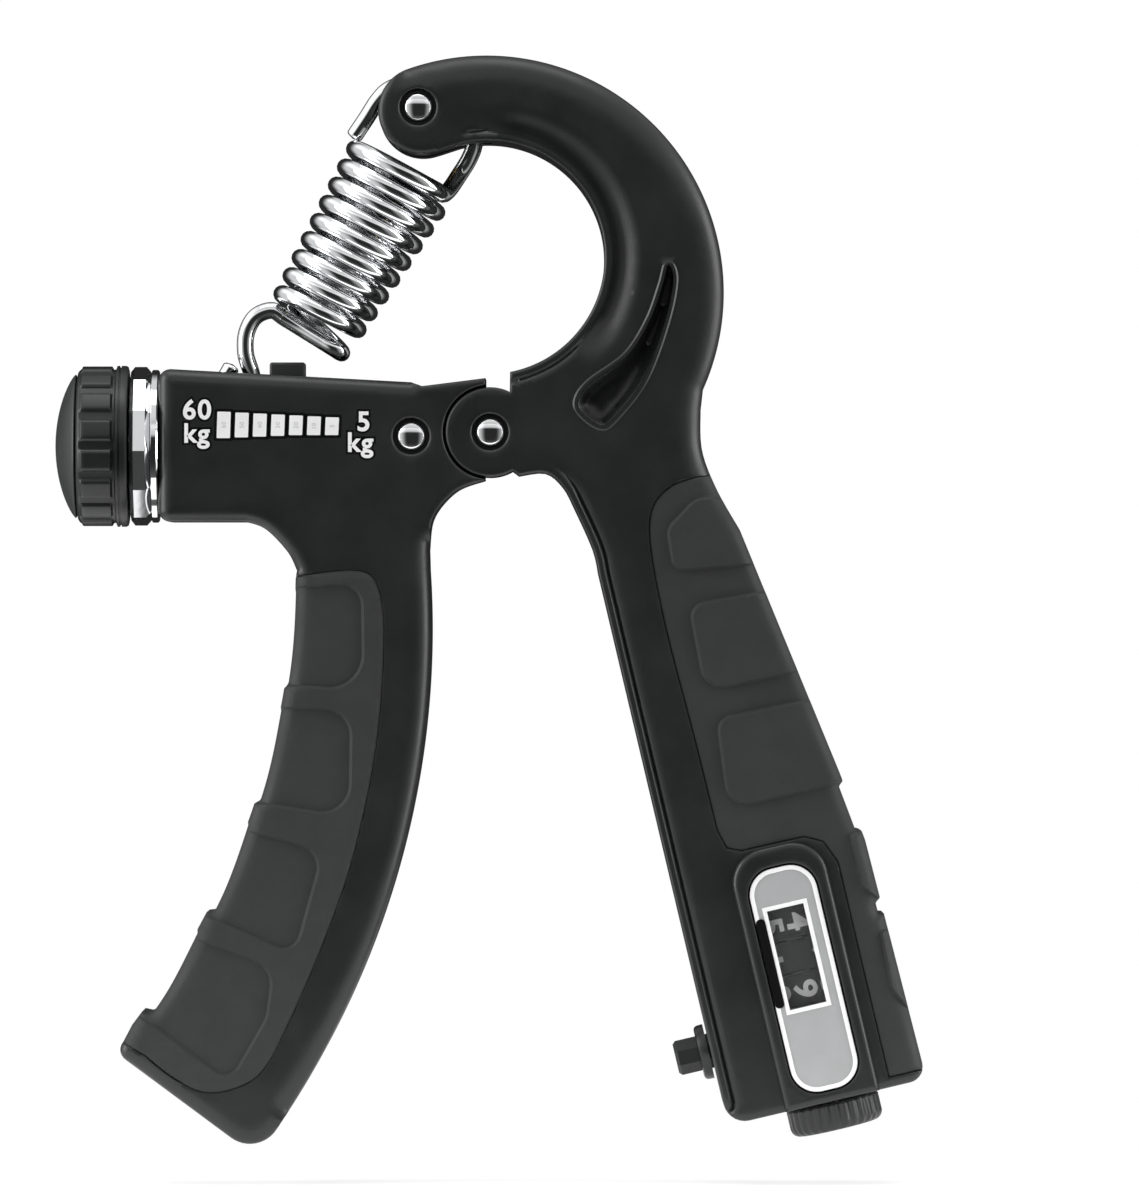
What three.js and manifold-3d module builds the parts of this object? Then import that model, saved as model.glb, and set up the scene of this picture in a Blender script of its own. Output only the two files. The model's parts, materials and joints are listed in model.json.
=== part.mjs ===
// Adjustable spring hand-grip trainer with a mechanical squeeze counter, as separate pieces.
// Millimetres, +Z up. The handles' flat sides face -Y (front) and +Y (rear).
// The origin is on the floor, under the middle of the standing object. Most pieces are drawn
// around the main pivot, and the counter's pieces around the middle of its faceplate.
import * as THREE from 'three';
import { mergeVertices } from 'three/addons/utils/BufferGeometryUtils.js';
import Module from 'manifold-3d';

const wasm = await Module();
wasm.setup();

// ---------------------------------------------------------------- driving dimensions
const PIVOT = { x: 0.354, z: 104.72 }; // main pivot above the floor
const HALF = 10.5; // half thickness of both handles
const EDGE = 1.6; // bevel along the handles' outer edges
const WALL = 2.2; // moulded wall
const SKIN = 1.3; // thickness of the soft overmoulds
const GAP = 0.3; // clearance between neighbours

// hook handle: C-shaped arm, hook end and straight palm side
const ARM_OUT = { x: -0.53, z: 20.52, r: 34.94 };
const ARM_IN = { x: -0.32, z: 25.67, r: 17.14 };
const HOOK_END = { x: -10.0, z: 47.3, r: 6.47 };
const HUB = { x: 0, z: 0, r: 6.6 };
const SEAM = HUB.r + GAP; // round seam between hub cheeks and lever
const innerEdgeX = (z) => 10.98 - 0.2361 * z; // palm side's edge that faces the fingers
const palmEdgeX = (z) => 30.83 - 0.4114 * z; // edge behind the palm
const heelEdgeX = (z) => 39.78 - 0.2568 * z; // edge beside the counter

// lever handle: barrel and curved finger side
const BARREL = { left: -48.8, top: 9.26, bottom: -13.2, axisZ: -1.98 };
const FINGER_ARC = { x: -141.5, z: -19.3, r: 113.2 };
const LEVER_ARC = { x: -138.7, z: -29.0, r: 130.1 };
const RIB_START = -1.2; // first finger rib, degrees round FINGER_ARC
const RIB_STEP = -8.93;
const RIB_HEIGHTS = [0.3, 0.5, 0.7, 1.0, 1.4];

// pivot joint
const TONGUE = 4.5; // half thickness of the lever's tongue
const CHEEK = 5.5; // inner faces of the hub cheeks
const BUSH_R = 2.6;
const RIVET = { shank: 1.6, head: 2.13, well: 2.7, seat: 9.3, crown: 0.85 };
const BARREL_RIVET = { x: -11.6, z: -0.6 };
const SPRING_RIVET = { x: -10.6, z: 47.8 };

// strength adjuster
const SCREW_R = 2.0;
const KNOB_R = 11.9;
const RIBS = 16; // grip ribs round the knob
const COLLAR_R = 11.6;
const HOOK_PIN = { x: -37.8, z: 4.2, r: 1.25 };
const POINTER = { left: -32.6, right: -27.3, top: 10.4, half: 2.3 };
const TRAVEL = { heavier: 2.6, lighter: 10.4 };

// extension spring: axes along and across the line from its rivet to the hook pin
const WIRE_R = 1.25;
const COIL = {
  top: -8.5, pitch: 2.98, turns: 9, topRadius: 7.8, endRadius: 6.1, topSide: -2.65, endSide: -3.45,
};
const LOOP = { side: -2.15, along: -2.0, halfWidth: 8.0, halfHeight: 6.1 };
const SPRING_SLOT = 1.9; // half width of the slot that takes the loop
const SPRING_BUSH_R = 2.2;

// counter: drawn round the middle of its faceplate, local +Z up the handle, local +X to the palm
const COUNTER = { x: 46.1, z: -80.3, tilt: -13.28 };
const FACE = { halfWidth: 5.0, halfHeight: 16.75, corner: 3.9 };
const WINDOW = { x: -0.26, z: 3.33, halfWidth: 2.75, halfHeight: 7.45 };
const POD = { halfWidth: 7.1, top: 20.0, bottom: -18.6, corner: 5.2, front: 11.4 };
const CAVITY = { left: -13.3, right: 9.2, top: 14.5, bottom: -12.2, half: HALF - WALL };
const WHEEL = { r: 6.5, pitch: 5.0, top: 10.85, y: -2.0, width: 4.7 };
const PINION = { x: 4.6, y: 5.0, r: 1.75 };
const PLUNGER = { z: -7.6, r: 2.75, tip: -21.0, collar: -17.5, face: -15.75 };
const RESET = { r: 6.95, top: -18.9, bottom: -23.0 };

const HOOK_SCREWS = [[3.5, 49.2], [23.5, -4.0], [30.6, -62.0]];
const COUNTER_SCREWS = [[-11.5, -15.4], [5.9, -15.4]]; // in the counter's own frame
const LEVER_SCREWS = [[-44.0, -10.5], [-22.0, -11.8], [-15.3, -57.0], [-34.8, -99.8]];
const SCREW = { shank: 0.9, head: 2.0, well: 2.25, seat: 8.0, headHeight: 1.5, tip: -4.5 };

// ---------------------------------------------------------------- materials
const black = { color: 0x1f2121, roughness: 0.45, metalness: 0 };
const rubber = { color: 0x333535, roughness: 0.75, metalness: 0 };
const chrome = { color: 0xd9dcdf, roughness: 0.12, metalness: 1 };
const steel = { color: 0x8f9398, roughness: 0.35, metalness: 1 };
const brass = { color: 0xb08d4c, roughness: 0.35, metalness: 1 };
const silver = { color: 0xbdbdbd, roughness: 0.4, metalness: 0.3 };
const wheelBlack = { color: 0x101111, roughness: 0.5, metalness: 0 };
const nylon = { color: 0xd8d4c8, roughness: 0.6, metalness: 0 };
const clear = { color: 0xf4f8fa, roughness: 0.05, metalness: 0 };

// ---------------------------------------------------------------- outlines in the X-Z plane
const rad = THREE.MathUtils.degToRad;
const pt = (x, z) => new THREE.Vector2(x, z);

function arc(circle, from, to, steps, radius = circle.r) {
  return Array.from({ length: steps + 1 }, (_, i) => {
    const a = rad(from + ((to - from) * i) / steps);
    return pt(circle.x + radius * Math.cos(a), circle.z + radius * Math.sin(a));
  });
}

// A corner of a polygon, rounded with radius r
function corner([bx, bz], [x, z], [ax, az], r, steps = 3) {
  const at = pt(x, z);
  const before = pt(bx, bz).sub(at).normalize();
  const after = pt(ax, az).sub(at).normalize();
  const half = Math.acos(before.dot(after)) / 2;
  const centre = before.clone().add(after).normalize().multiplyScalar(r / Math.sin(half)).add(at);
  const start = before.multiplyScalar(r / Math.tan(half)).add(at).sub(centre);
  const end = after.multiplyScalar(r / Math.tan(half)).add(at).sub(centre);
  const a0 = start.angle();
  const turn = Math.atan2(start.cross(end), start.dot(end));
  return Array.from({ length: steps + 1 }, (_, i) => {
    const a = a0 + (turn * i) / steps;
    return pt(centre.x + r * Math.cos(a), centre.y + r * Math.sin(a));
  });
}

function rounded(corners, r, steps = 4) {
  const n = corners.length;
  return corners.flatMap((c, i) => corner(corners[(i + n - 1) % n], c, corners[(i + 1) % n], r, steps));
}

const roundedBox = (x0, x1, z0, z1, r, steps) =>
  rounded([[x0, z0], [x1, z0], [x1, z1], [x0, z1]], r, steps);

const smooth = (points, steps) => new THREE.SplineCurve(points.map(([x, z]) => pt(x, z))).getPoints(steps);

// Moves each point of an open line to the left of its direction
function offset(points, distance) {
  return points.map((p, i) => {
    const along = points[Math.min(i + 1, points.length - 1)].clone().sub(points[Math.max(i - 1, 0)]);
    return pt(-along.y, along.x).setLength(distance).add(p);
  });
}

// The finger side's wavy edge: an arc with a low rib between the fingers
function fingerEdge(steps) {
  const width = 1.3;
  return Array.from({ length: steps + 1 }, (_, i) => {
    const a = RIB_START + (4.05 * RIB_STEP * i) / steps;
    const rise = RIB_HEIGHTS.reduce(
      (sum, h, k) => sum + h * Math.exp(-(((a - RIB_START - k * RIB_STEP) / width) ** 2)), 0);
    const r = FINGER_ARC.r - rise;
    return pt(FINGER_ARC.x + r * Math.cos(rad(a)), FINGER_ARC.z + r * Math.sin(rad(a)));
  });
}

// ---------------------------------------------------------------- solids
function solidFrom(geometry) {
  for (const name of ['normal', 'uv']) geometry.deleteAttribute(name);
  const merged = mergeVertices(geometry, 1e-5);
  const p = merged.attributes.position.array;
  const kept = [];
  for (let i = 0; i < merged.index.count; i += 3) {
    const [a, b, c] = [0, 1, 2].map((k) => merged.index.getX(i + k));
    if (a !== b && b !== c && c !== a) kept.push(a, b, c);
  }
  const corner3 = (i) => new THREE.Vector3(p[3 * i], p[3 * i + 1], p[3 * i + 2]);
  let volume = 0;
  for (let i = 0; i < kept.length; i += 3) {
    const [a, b, c] = [kept[i], kept[i + 1], kept[i + 2]].map(corner3);
    volume += a.dot(b.cross(c));
  }
  if (volume < 0) kept.reverse();
  return new wasm.Manifold(new wasm.Mesh({
    numProp: 3,
    vertProperties: Float32Array.from(p),
    triVerts: Uint32Array.from(kept),
  }));
}

// Rewrites each point (x, y, z) of a geometry
function remap(geometry, change) {
  const p = geometry.attributes.position;
  for (let i = 0; i < p.count; i += 1) p.setXYZ(i, ...change(p.getX(i), p.getY(i), p.getZ(i)));
  return geometry;
}

// An outline in X-Z, from y0 to y1, with an optional bevel on both faces
function slab(outline, y0, y1, bevel = 0) {
  const geometry = new THREE.ExtrudeGeometry(new THREE.Shape(outline), {
    depth: y1 - y0 - 2 * bevel,
    bevelEnabled: bevel > 0,
    bevelThickness: bevel,
    bevelSize: bevel,
    bevelOffset: -bevel,
    bevelSegments: 1,
    steps: 1,
  });
  return solidFrom(remap(geometry, (x, y, z) => [x, y1 - bevel - z, y]));
}

const box = (x0, x1, y0, y1, z0, z1) => solidFrom(
  new THREE.BoxGeometry(x1 - x0, y1 - y0, z1 - z0).translate((x0 + x1) / 2, (y0 + y1) / 2, (z0 + z1) / 2));

// A round solid from a profile of [radius, height] points, along +Y, +X or +Z
function turned(profile, axis, at, sides = 16) {
  const geometry = new THREE.LatheGeometry(profile.map(([r, h]) => pt(r, h)), sides);
  const place = {
    y: (x, y, z) => [x + at[0], y + at[1], z + at[2]],
    x: (x, y, z) => [y + at[0], -x + at[1], z + at[2]],
    z: (x, y, z) => [x + at[0], -z + at[1], y + at[2]],
  }[axis];
  return solidFrom(remap(geometry, place));
}

const rodProfile = (r, from, to) => [[0, from], [r, from], [r, to], [0, to]];
const ringProfile = (inner, outer, from, to) =>
  [[inner, from], [outer, from], [outer, to], [inner, to], [inner, from]];
const rodY = (r, y0, y1, [x, z], sides) => turned(rodProfile(r, y0, y1), 'y', [x, 0, z], sides);
const rodX = (r, x0, x1, [y, z], sides) => turned(rodProfile(r, x0, x1), 'x', [0, y, z], sides);
const rodZ = (r, z0, z1, [x, y], sides) => turned(rodProfile(r, z0, z1), 'z', [x, y, 0], sides);

// Round wire along a smooth route
function wire(points, r, steps, sides = 6) {
  const route = new THREE.CatmullRomCurve3(points.map((p) => new THREE.Vector3(...p)), false, 'centripetal');
  const section = arc({ x: 0, z: 0, r }, 0, 360, sides).slice(0, sides);
  return solidFrom(new THREE.ExtrudeGeometry(
    new THREE.Shape(section), { steps, extrudePath: route, bevelEnabled: false }));
}

const join = (solids) => solids.reduce((a, b) => a.add(b));
const cut = (solid, cutters) => cutters.reduce((a, b) => a.subtract(b), solid);

// ---------------------------------------------------------------- scene graph
const part = new THREE.Group();
const pivotFrame = new THREE.Group();
pivotFrame.position.set(PIVOT.x, 0, PIVOT.z);
part.add(pivotFrame);
const counterFrame = new THREE.Group();
counterFrame.position.set(COUNTER.x, 0, COUNTER.z);
counterFrame.rotation.y = rad(COUNTER.tilt);
pivotFrame.add(counterFrame);
counterFrame.updateMatrix();

function addPiece(name, solid, look, group = pivotFrame) {
  const data = solid.getMesh();
  const geometry = new THREE.BufferGeometry();
  geometry.setAttribute('position', new THREE.BufferAttribute(data.vertProperties, 3));
  geometry.setIndex(new THREE.BufferAttribute(data.triVerts, 1));
  geometry.computeVertexNormals();
  const mesh = new THREE.Mesh(geometry, new THREE.MeshStandardMaterial(look));
  mesh.name = name;
  group.add(mesh);
}

// A cutter drawn in the counter's frame, carried into the pivot's frame
const fromCounter = (solid) => solid.transform(counterFrame.matrix.elements);

// ---------------------------------------------------------------- rivets and screws
// Dome-headed rivet: its heads sit in round wells on both faces
function rivet([x, z]) {
  const { shank, head, seat, crown } = RIVET;
  const dome = [0, 0.5, 0.85, 1].map((t) => [head * t, seat + 0.25 + crown * (1 - t * t)]);
  const upper = [[shank, seat], [head, seat], ...dome.toReversed()];
  const lower = upper.map(([r, y]) => [r, -y]).toReversed();
  return turned([...lower, ...upper], 'y', [x, 0, z]);
}

const rivetHole = ([x, z]) => join([
  rodY(RIVET.shank + 0.1, -HALF - 1, HALF + 1, [x, z], 12),
  rodY(RIVET.well, RIVET.seat, HALF + 1, [x, z], 14),
  rodY(RIVET.well, -HALF - 1, -RIVET.seat, [x, z], 14),
]);

const bush = (outer, half, [x, z]) =>
  turned(ringProfile(RIVET.shank + 0.05, outer, -half, half), 'y', [x, 0, z]);

// Self-tapping screw, put in from the rear
function screw([x, z]) {
  const { shank, head, seat, headHeight, tip } = SCREW;
  const profile = [[0, tip], [shank, tip + 1.5], [shank, seat], [head, seat], [head, seat + 0.9],
    [head * 0.6, seat + headHeight], [0, seat + headHeight]];
  return turned(profile, 'y', [x, 0, z], 12);
}

const screwHole = ([x, z]) => join([
  rodY(SCREW.shank + 0.1, SCREW.tip - 0.5, HALF + 1, [x, z], 12),
  rodY(SCREW.well, SCREW.seat, HALF + 1, [x, z], 12),
]);

// Cuts a handle's solid along the parting plane y = 0 and adds both shells
function addShells(name, solid) {
  const far = 150;
  addPiece(`${name}_front_shell`, solid.subtract(box(-far, far, 0, far, -far, far)), black);
  addPiece(`${name}_rear_shell`, solid.subtract(box(-far, far, -far, 0, -far, far)), black);
}

// ---------------------------------------------------------------- spring frame
// [across, along] on the line from the spring's rivet to the hook pin; along is positive upwards
const springLength = Math.hypot(SPRING_RIVET.x - HOOK_PIN.x, SPRING_RIVET.z - HOOK_PIN.z);
const up = pt(SPRING_RIVET.x - HOOK_PIN.x, SPRING_RIVET.z - HOOK_PIN.z).divideScalar(springLength);
const springPoint = (across, along, y = 0) => [
  SPRING_RIVET.x + along * up.x - across * up.y, y, SPRING_RIVET.z + along * up.y + across * up.x];

function loopOutline(grow, swing) {
  const points = [];
  for (let a = 0; a <= 180; a += 22.5) {
    points.push([LOOP.side + (LOOP.halfWidth + grow) * Math.cos(rad(a)),
      LOOP.along + (LOOP.halfHeight + grow) * Math.sin(rad(a))]);
  }
  const low = LOOP.along - 16;
  points.push([LOOP.side - LOOP.halfWidth - grow, low], [LOOP.side + LOOP.halfWidth + grow, low]);
  const about = pt(SPRING_RIVET.x, SPRING_RIVET.z);
  return points.map(([s, t]) => {
    const [x, , z] = springPoint(s, t);
    return pt(x, z).rotateAround(about, rad(swing));
  });
}

// ---------------------------------------------------------------- hook handle
const HEEL = [64.2, -95.1]; // outer bottom corner
const TOE = [35.07, -102.0]; // inner bottom corner
const hookOutline = [
  ...arc(HUB, 63.9, 300, 14),
  ...smooth(
    [[4.2, -6.4], [8.1, -6.0], [10.7, -8.1], [12.5, -11.5], [15.1, -17.3], [innerEdgeX(-21), -21]], 9),
  ...corner([innerEdgeX(-60), -60], TOE, HEEL, 3.2),
  ...corner(TOE, HEEL, [heelEdgeX(-60), -60], 2.4),
  ...smooth([[heelEdgeX(-60), -60], [palmEdgeX(-50), -50]], 1),
  ...smooth([[palmEdgeX(-14.4), -14.4], [33.4, -8.5], [31.2, -2.65], [31.0, 3.2]], 7),
  ...arc(ARM_OUT, -24.2, 109.5, 23),
  ...arc(HOOK_END, 118, 288, 9),
  ...arc(ARM_IN, 104, -79, 20),
];

// Region of the palm overmould; grow widens it to leave the gap in the shells
function palmZone(grow) {
  const side = smooth(
    [[32.5, -6.6], [26.6, -8.3], [23.7, -13.5], [25.6, -26.6], [30.7, -46.5], [33.6, -58.4]], 14);
  const strip = [[-6.4, 21.4], [-4.6, 20.6], [4.9, 20.5], [7.6, 19.1], [9.1, 15.5], [9.1, -17.0], [22, -17.0]]
    .map(([x, z]) => new THREE.Vector3(x, 0, z).applyMatrix4(counterFrame.matrix))
    .map((p) => pt(p.x, p.z));
  return [...offset([pt(60, -6.6), ...side, ...strip], -grow), pt(75, -60)];
}

const faceOutline = (grow) => roundedBox(-FACE.halfWidth - grow, FACE.halfWidth + grow,
  -FACE.halfHeight - grow, FACE.halfHeight + grow, FACE.corner + grow, 6);

const palmCore = [
  pt(15, -3), ...[-8, -50].map((z) => pt(palmEdgeX(z) - SKIN - GAP, z)),
  ...[-60, -105].map((z) => pt(heelEdgeX(z) - SKIN - GAP, z)), pt(15, -105)];
const palmCoreGap = palmCore.map((p) => pt(p.x + (p.x > 15 ? GAP : -1), p.y));

function hookHandle() {
  const body = slab(hookOutline, -HALF, HALF, EDGE);
  const under = HALF - SKIN;
  const palmGrip = body.intersect(slab(palmZone(0), -HALF, HALF))
    .subtract(slab(palmCoreGap, -under, under));
  const palmCut = slab(palmZone(GAP), -HALF - 1, HALF + 1).subtract(slab(palmCore, -under, under));

  const inner = HALF - WALL;
  const handleHollow = slab(rounded([
    [innerEdgeX(-17) + 2.5, -17], [palmEdgeX(-17) - 4.4, -17], [palmEdgeX(-57) - 4.6, -57],
    [innerEdgeX(-57) + 2.5, -57]].toReversed(), 2), -inner, inner);
  const [outerWall, innerWall] = [2.6, 2.8];
  const armHollow = slab([
    ...arc(ARM_OUT, -14, 74, 9, ARM_OUT.r - outerWall),
    ...arc(ARM_IN, 70, -22, 8, ARM_IN.r + innerWall),
  ], -inner, inner);

  const tongueRoom = join([
    rodY(SEAM, -CHEEK, CHEEK, [0, 0], 22),
    slab([pt(-9, -9), pt(4.1, -9), pt(4.1, -4), pt(-9, -4)], -CHEEK, CHEEK),
    slab([pt(0, 0), ...arc(HUB, -2.2, 56, 6, 9.4)], -CHEEK, CHEEK),
  ]);
  const loopRoom = join([-4, 8, 20].map(
    (swing) => slab(loopOutline(WIRE_R + 0.35, swing), -SPRING_SLOT, SPRING_SLOT)));

  const podOutline = roundedBox(-POD.halfWidth, POD.halfWidth, POD.bottom, POD.top, POD.corner, 5)
    .map((p) => (p.y < 0 ? pt(Math.sign(p.x) * POD.halfWidth, POD.bottom) : p));
  const pod = fromCounter(slab(podOutline, -POD.front, -HALF + 2, 0.6));
  const { left, right, top, bottom, half } = CAVITY;
  const counterRoom = join([
    slab(roundedBox(left, right, bottom, top, 1.5, 2), -half, half),
    slab(faceOutline(GAP), -POD.front - 1, -9.9),
    box(WINDOW.x - 3.6, WINDOW.x + 3.6, -HALF, -7, WINDOW.z - 8.3, WINDOW.z + 8.3),
    rodZ(1.4, -20, bottom + 1, [0, WHEEL.y], 16),
    rodX(PLUNGER.r + 0.35, PLUNGER.face - 2, left + 1, [0, PLUNGER.z], 24),
  ]);
  addShells('hook', cut(body.subtract(palmCut).add(pod), [
    handleHollow, armHollow, tongueRoom, loopRoom, fromCounter(counterRoom),
    rivetHole([0, 0]), rivetHole([SPRING_RIVET.x, SPRING_RIVET.z]),
    ...HOOK_SCREWS.map(screwHole),
    ...COUNTER_SCREWS.map((at) => fromCounter(screwHole(at))),
  ]));
  addPiece('palm_grip', palmGrip, rubber);
  addPiece('pivot_rivet', rivet([0, 0]), chrome);
  addPiece('pivot_bush', bush(BUSH_R, CHEEK - 0.05, [0, 0]), brass);
  for (const [side, sign] of [['front', -1], ['rear', 1]]) {
    const faces = [TONGUE + 0.1, CHEEK - 0.1].map((y) => y * sign).sort((a, b) => a - b);
    const washer = turned(ringProfile(BUSH_R + 0.15, 5.4, ...faces), 'y', [0, 0, 0]);
    addPiece(`pivot_washer_${side}`, washer, nylon);
  }
  addPiece('spring_rivet', rivet([SPRING_RIVET.x, SPRING_RIVET.z]), chrome);
  HOOK_SCREWS.forEach((at, i) => addPiece(`hook_screw_${i + 1}`, screw(at), steel));
  COUNTER_SCREWS.forEach((at, i) => addPiece(`hook_screw_${i + 4}`, screw(at), steel, counterFrame));
}

// ---------------------------------------------------------------- lever handle
const leverOutline = [
  ...corner([0, BARREL.top], [BARREL.left, BARREL.top], [BARREL.left, 0], 1.8, 3),
  ...corner([BARREL.left, 0], [BARREL.left, BARREL.bottom], [0, BARREL.bottom], 1.8, 3),
  ...smooth([[-36.0, BARREL.bottom], [-33.0, -14.3], [-29.8, -17.6], [-28.4, -20.4]], 6),
  ...fingerEdge(32),
  ...corner([-52.5, -87.9], [-55.2, -91.2], [-34.1, -106.8], 1.8),
  ...corner([-55.2, -91.2], [-34.1, -106.8], [-29.4, -99.5], 4.7, 6),
  ...arc(LEVER_ARC, -32.9, 3.8, 12),
  ...smooth([[-8.97, -17.35], [-8.3, -12.6], [-5.0, -8.7], [-0.74, -7.06]], 8),
  ...arc(HUB, -96, 96, 14, HUB.r - 0.4),
  ...[[-0.66, 7.94], [-10.0, 6.76], [-11.6, 7.35]].map(([x, z]) => pt(x, z)),
];

const gripSide = [
  [-28.0, -21.4], [-19.3, -20.7], [-16.6, -23.4], [-15.9, -31], [-17.0, -46], [-20.3, -61.9], [-24.5, -74.2],
  [-29.8, -86.6], [-33.6, -93.6], [-37.6, -96.2], [-42.2, -96.7], [-46.5, -94.6], [-50.6, -91.4],
];

const fingerZone = (grow) => offset([pt(-60, -21.4), ...smooth(gripSide, 20), pt(-60, -86)], grow);

const barrelEnd = POINTER.right + TRAVEL.lighter + 0.6; // right end of the room the carriage slides in
const barrelTop = (x) => BARREL.top + ((x - BARREL.left) * (7.35 - BARREL.top)) / (-11.6 - BARREL.left);

function leverHandle() {
  const body = slab(leverOutline, -HALF, HALF, EDGE);
  const under = HALF - SKIN;
  const coreArc = (radius) => [...arc(FINGER_ARC, 6, -52, 18, radius), pt(30, -110), pt(30, 20)];
  const fingerGrip = body.intersect(slab(fingerZone(0), -HALF, HALF))
    .subtract(slab(coreArc(FINGER_ARC.r + SKIN), -under, under));
  const gripCut = slab(fingerZone(GAP), -HALF - 1, HALF + 1)
    .subtract(slab(coreArc(FINGER_ARC.r + SKIN + GAP), -under, under));

  const inner = HALF - WALL;
  const innerArc = { ...LEVER_ARC, r: LEVER_ARC.r - 2.4 };
  const outerArc = { ...FINGER_ARC, r: FINGER_ARC.r + SKIN + GAP + WALL };
  const angleAt = (circle, z) => THREE.MathUtils.radToDeg(Math.asin((z - circle.z) / circle.r));
  const hollows = [[-21, -52], [-62, -90]].map(([high, low]) => slab([
    ...arc(innerArc, angleAt(innerArc, high), angleAt(innerArc, low), 5),
    ...arc(outerArc, angleAt(outerArc, low), angleAt(outerArc, high), 5)], -inner, inner));
  const barrelRoom = slab([
    pt(BARREL.left + 2.4, -7.8), pt(barrelEnd, -7.8), pt(barrelEnd, barrelTop(barrelEnd) - 1.6),
    pt(BARREL.left + 2.4, barrelTop(BARREL.left + 2.4) - 1.6)], -inner, inner);
  const far = 12;
  addShells('lever', cut(body.subtract(gripCut), [
    ...hollows, barrelRoom,
    box(-45.2, barrelEnd - 0.2, -POINTER.half - GAP, POINTER.half + GAP, 3, far),
    rodX(SCREW_R + 0.15, BARREL.left - 1, -46, [0, BARREL.axisZ]),
    rodX(3.4, barrelEnd - 1, barrelEnd + 2.4, [0, BARREL.axisZ]),
    rodY(SEAM, TONGUE, far, [0, 0], 22), rodY(SEAM, -far, -TONGUE, [0, 0], 22),
    rodY(BUSH_R + 0.1, -far, far, [0, 0]),
    rivetHole([BARREL_RIVET.x, BARREL_RIVET.z]),
    ...LEVER_SCREWS.map(screwHole),
  ]).add(slab([...arc(HUB, 0, 20, 3, 9.0), ...arc(HUB, 20, 0, 3, 5.0)], -TONGUE, TONGUE)));
  addPiece('finger_grip', fingerGrip, rubber);
  addPiece('barrel_rivet', rivet([BARREL_RIVET.x, BARREL_RIVET.z]), chrome);
  const onAxis = [0, 0, BARREL.axisZ];
  const thrustWasher = ringProfile(SCREW_R + 0.15, COLLAR_R - 0.4, -50.0, BARREL.left - 0.1);
  addPiece('thrust_washer', turned(thrustWasher, 'x', onAxis, 24), nylon);
  const collar = ringProfile(SCREW_R + 0.15, COLLAR_R, -53.1, -50.1);
  addPiece('collar_ring', turned(collar, 'x', onAxis, 32), chrome);
  const endBush = ringProfile(SCREW_R + 0.05, 3.3, barrelEnd + 0.3, barrelEnd + 2.3);
  addPiece('screw_end_bush', turned(endBush, 'x', onAxis), brass);
  LEVER_SCREWS.forEach((at, i) => addPiece(`lever_screw_${i + 1}`, screw(at), steel));
}

// ---------------------------------------------------------------- strength adjuster
function adjuster() {
  const onAxis = [0, 0, BARREL.axisZ];
  const rim = turned([[8.6, -61.0], [KNOB_R - 0.5, -61.0], [KNOB_R - 0.5, -54.9],
    [KNOB_R, -54.6], [KNOB_R, -53.4], [3.2, -53.4], [3.2, -57.0], [8.6, -57.0],
    [8.6, -61.0]], 'x', onAxis, 2 * RIBS);
  const ribs = Array.from({ length: RIBS }, (_, i) => {
    const a = (i * 2 * Math.PI) / RIBS;
    const rib = new THREE.BoxGeometry(5.2, 1.3, 1.0).translate(-57.8, 0, KNOB_R - 0.55).rotateX(a);
    return solidFrom(rib.translate(0, 0, BARREL.axisZ));
  });
  addPiece('knob_rim', join([rim, ...ribs]), black);
  const dome = [1, 0.75, 0.5, 0].map((t) => [10.6 * t, -61.3 - 3.0 * (1 - t * t) ** 0.8]);
  const cap = [...dome.toReversed(), [8.3, -61.3], [8.3, -58.4], [0, -58.4]];
  addPiece('knob_cap', turned(cap, 'x', onAxis, 24), black);
  addPiece('lead_screw', turned([[0, -57.6], [2.9, -57.6], [2.9, -53.5], [SCREW_R, -53.5],
    [SCREW_R, barrelEnd + 2.2], [0, barrelEnd + 2.2]], 'x', onAxis), steel);
  addPiece('screw_clip', cut(turned(ringProfile(SCREW_R + 0.05, 3.8, -46.2, -45.6), 'x', onAxis), [
    box(-47, -45, -1.2, 1.2, BARREL.axisZ - 6, BARREL.axisZ)]), steel);
}

function carriage() {
  const { left, right, top, half } = POINTER;
  const axisZ = BARREL.axisZ;
  const blockHalf = 5.5;
  const block = join([
    box(left - 0.8, right, -blockHalf, blockHalf, axisZ - 5.0, 1.8),
    box(left, right, -half, half, 1.0, top),
    ...[-1, 1].map((side) => {
      const [y0, y1] = [2.1 * side, blockHalf * side].sort((a, b) => a - b);
      return box(HOOK_PIN.x - 3.1, left, y0, y1, 0.4, 6.1);
    }),
  ]);
  const nutHalf = 3.5;
  const nutRoom = [left + 1.0, right - 1.0];
  addPiece('carriage', cut(block, [
    rodX(SCREW_R + 0.25, left - 3, right + 3, [0, axisZ]),
    box(...nutRoom, -nutHalf - 0.15, nutHalf + 0.15, axisZ - 6, axisZ + 3.0),
    rodY(HOOK_PIN.r + 0.05, -8, 8, [HOOK_PIN.x, HOOK_PIN.z]),
  ]), black);
  const nut = box(nutRoom[0] + 0.15, nutRoom[1] - 0.15, -nutHalf, nutHalf, axisZ - 4.5, axisZ + 2.8);
  addPiece('carriage_nut', nut.subtract(rodX(SCREW_R + 0.05, left - 3, right + 3, [0, axisZ])), brass);
  addPiece('hook_pin', rodY(HOOK_PIN.r, -5.4, 5.4, [HOOK_PIN.x, HOOK_PIN.z]), steel);
}

// ---------------------------------------------------------------- extension spring
// The coil starts on its right side, passes in front to the left and goes on behind
function coilPoint(turn) {
  const share = turn / COIL.turns;
  const r = THREE.MathUtils.lerp(COIL.topRadius, COIL.endRadius, share);
  const side = THREE.MathUtils.lerp(COIL.topSide, COIL.endSide, share);
  const a = turn * 2 * Math.PI;
  return springPoint(side - r * Math.cos(a), COIL.top - COIL.pitch * turn, -r * Math.sin(a));
}

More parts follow.
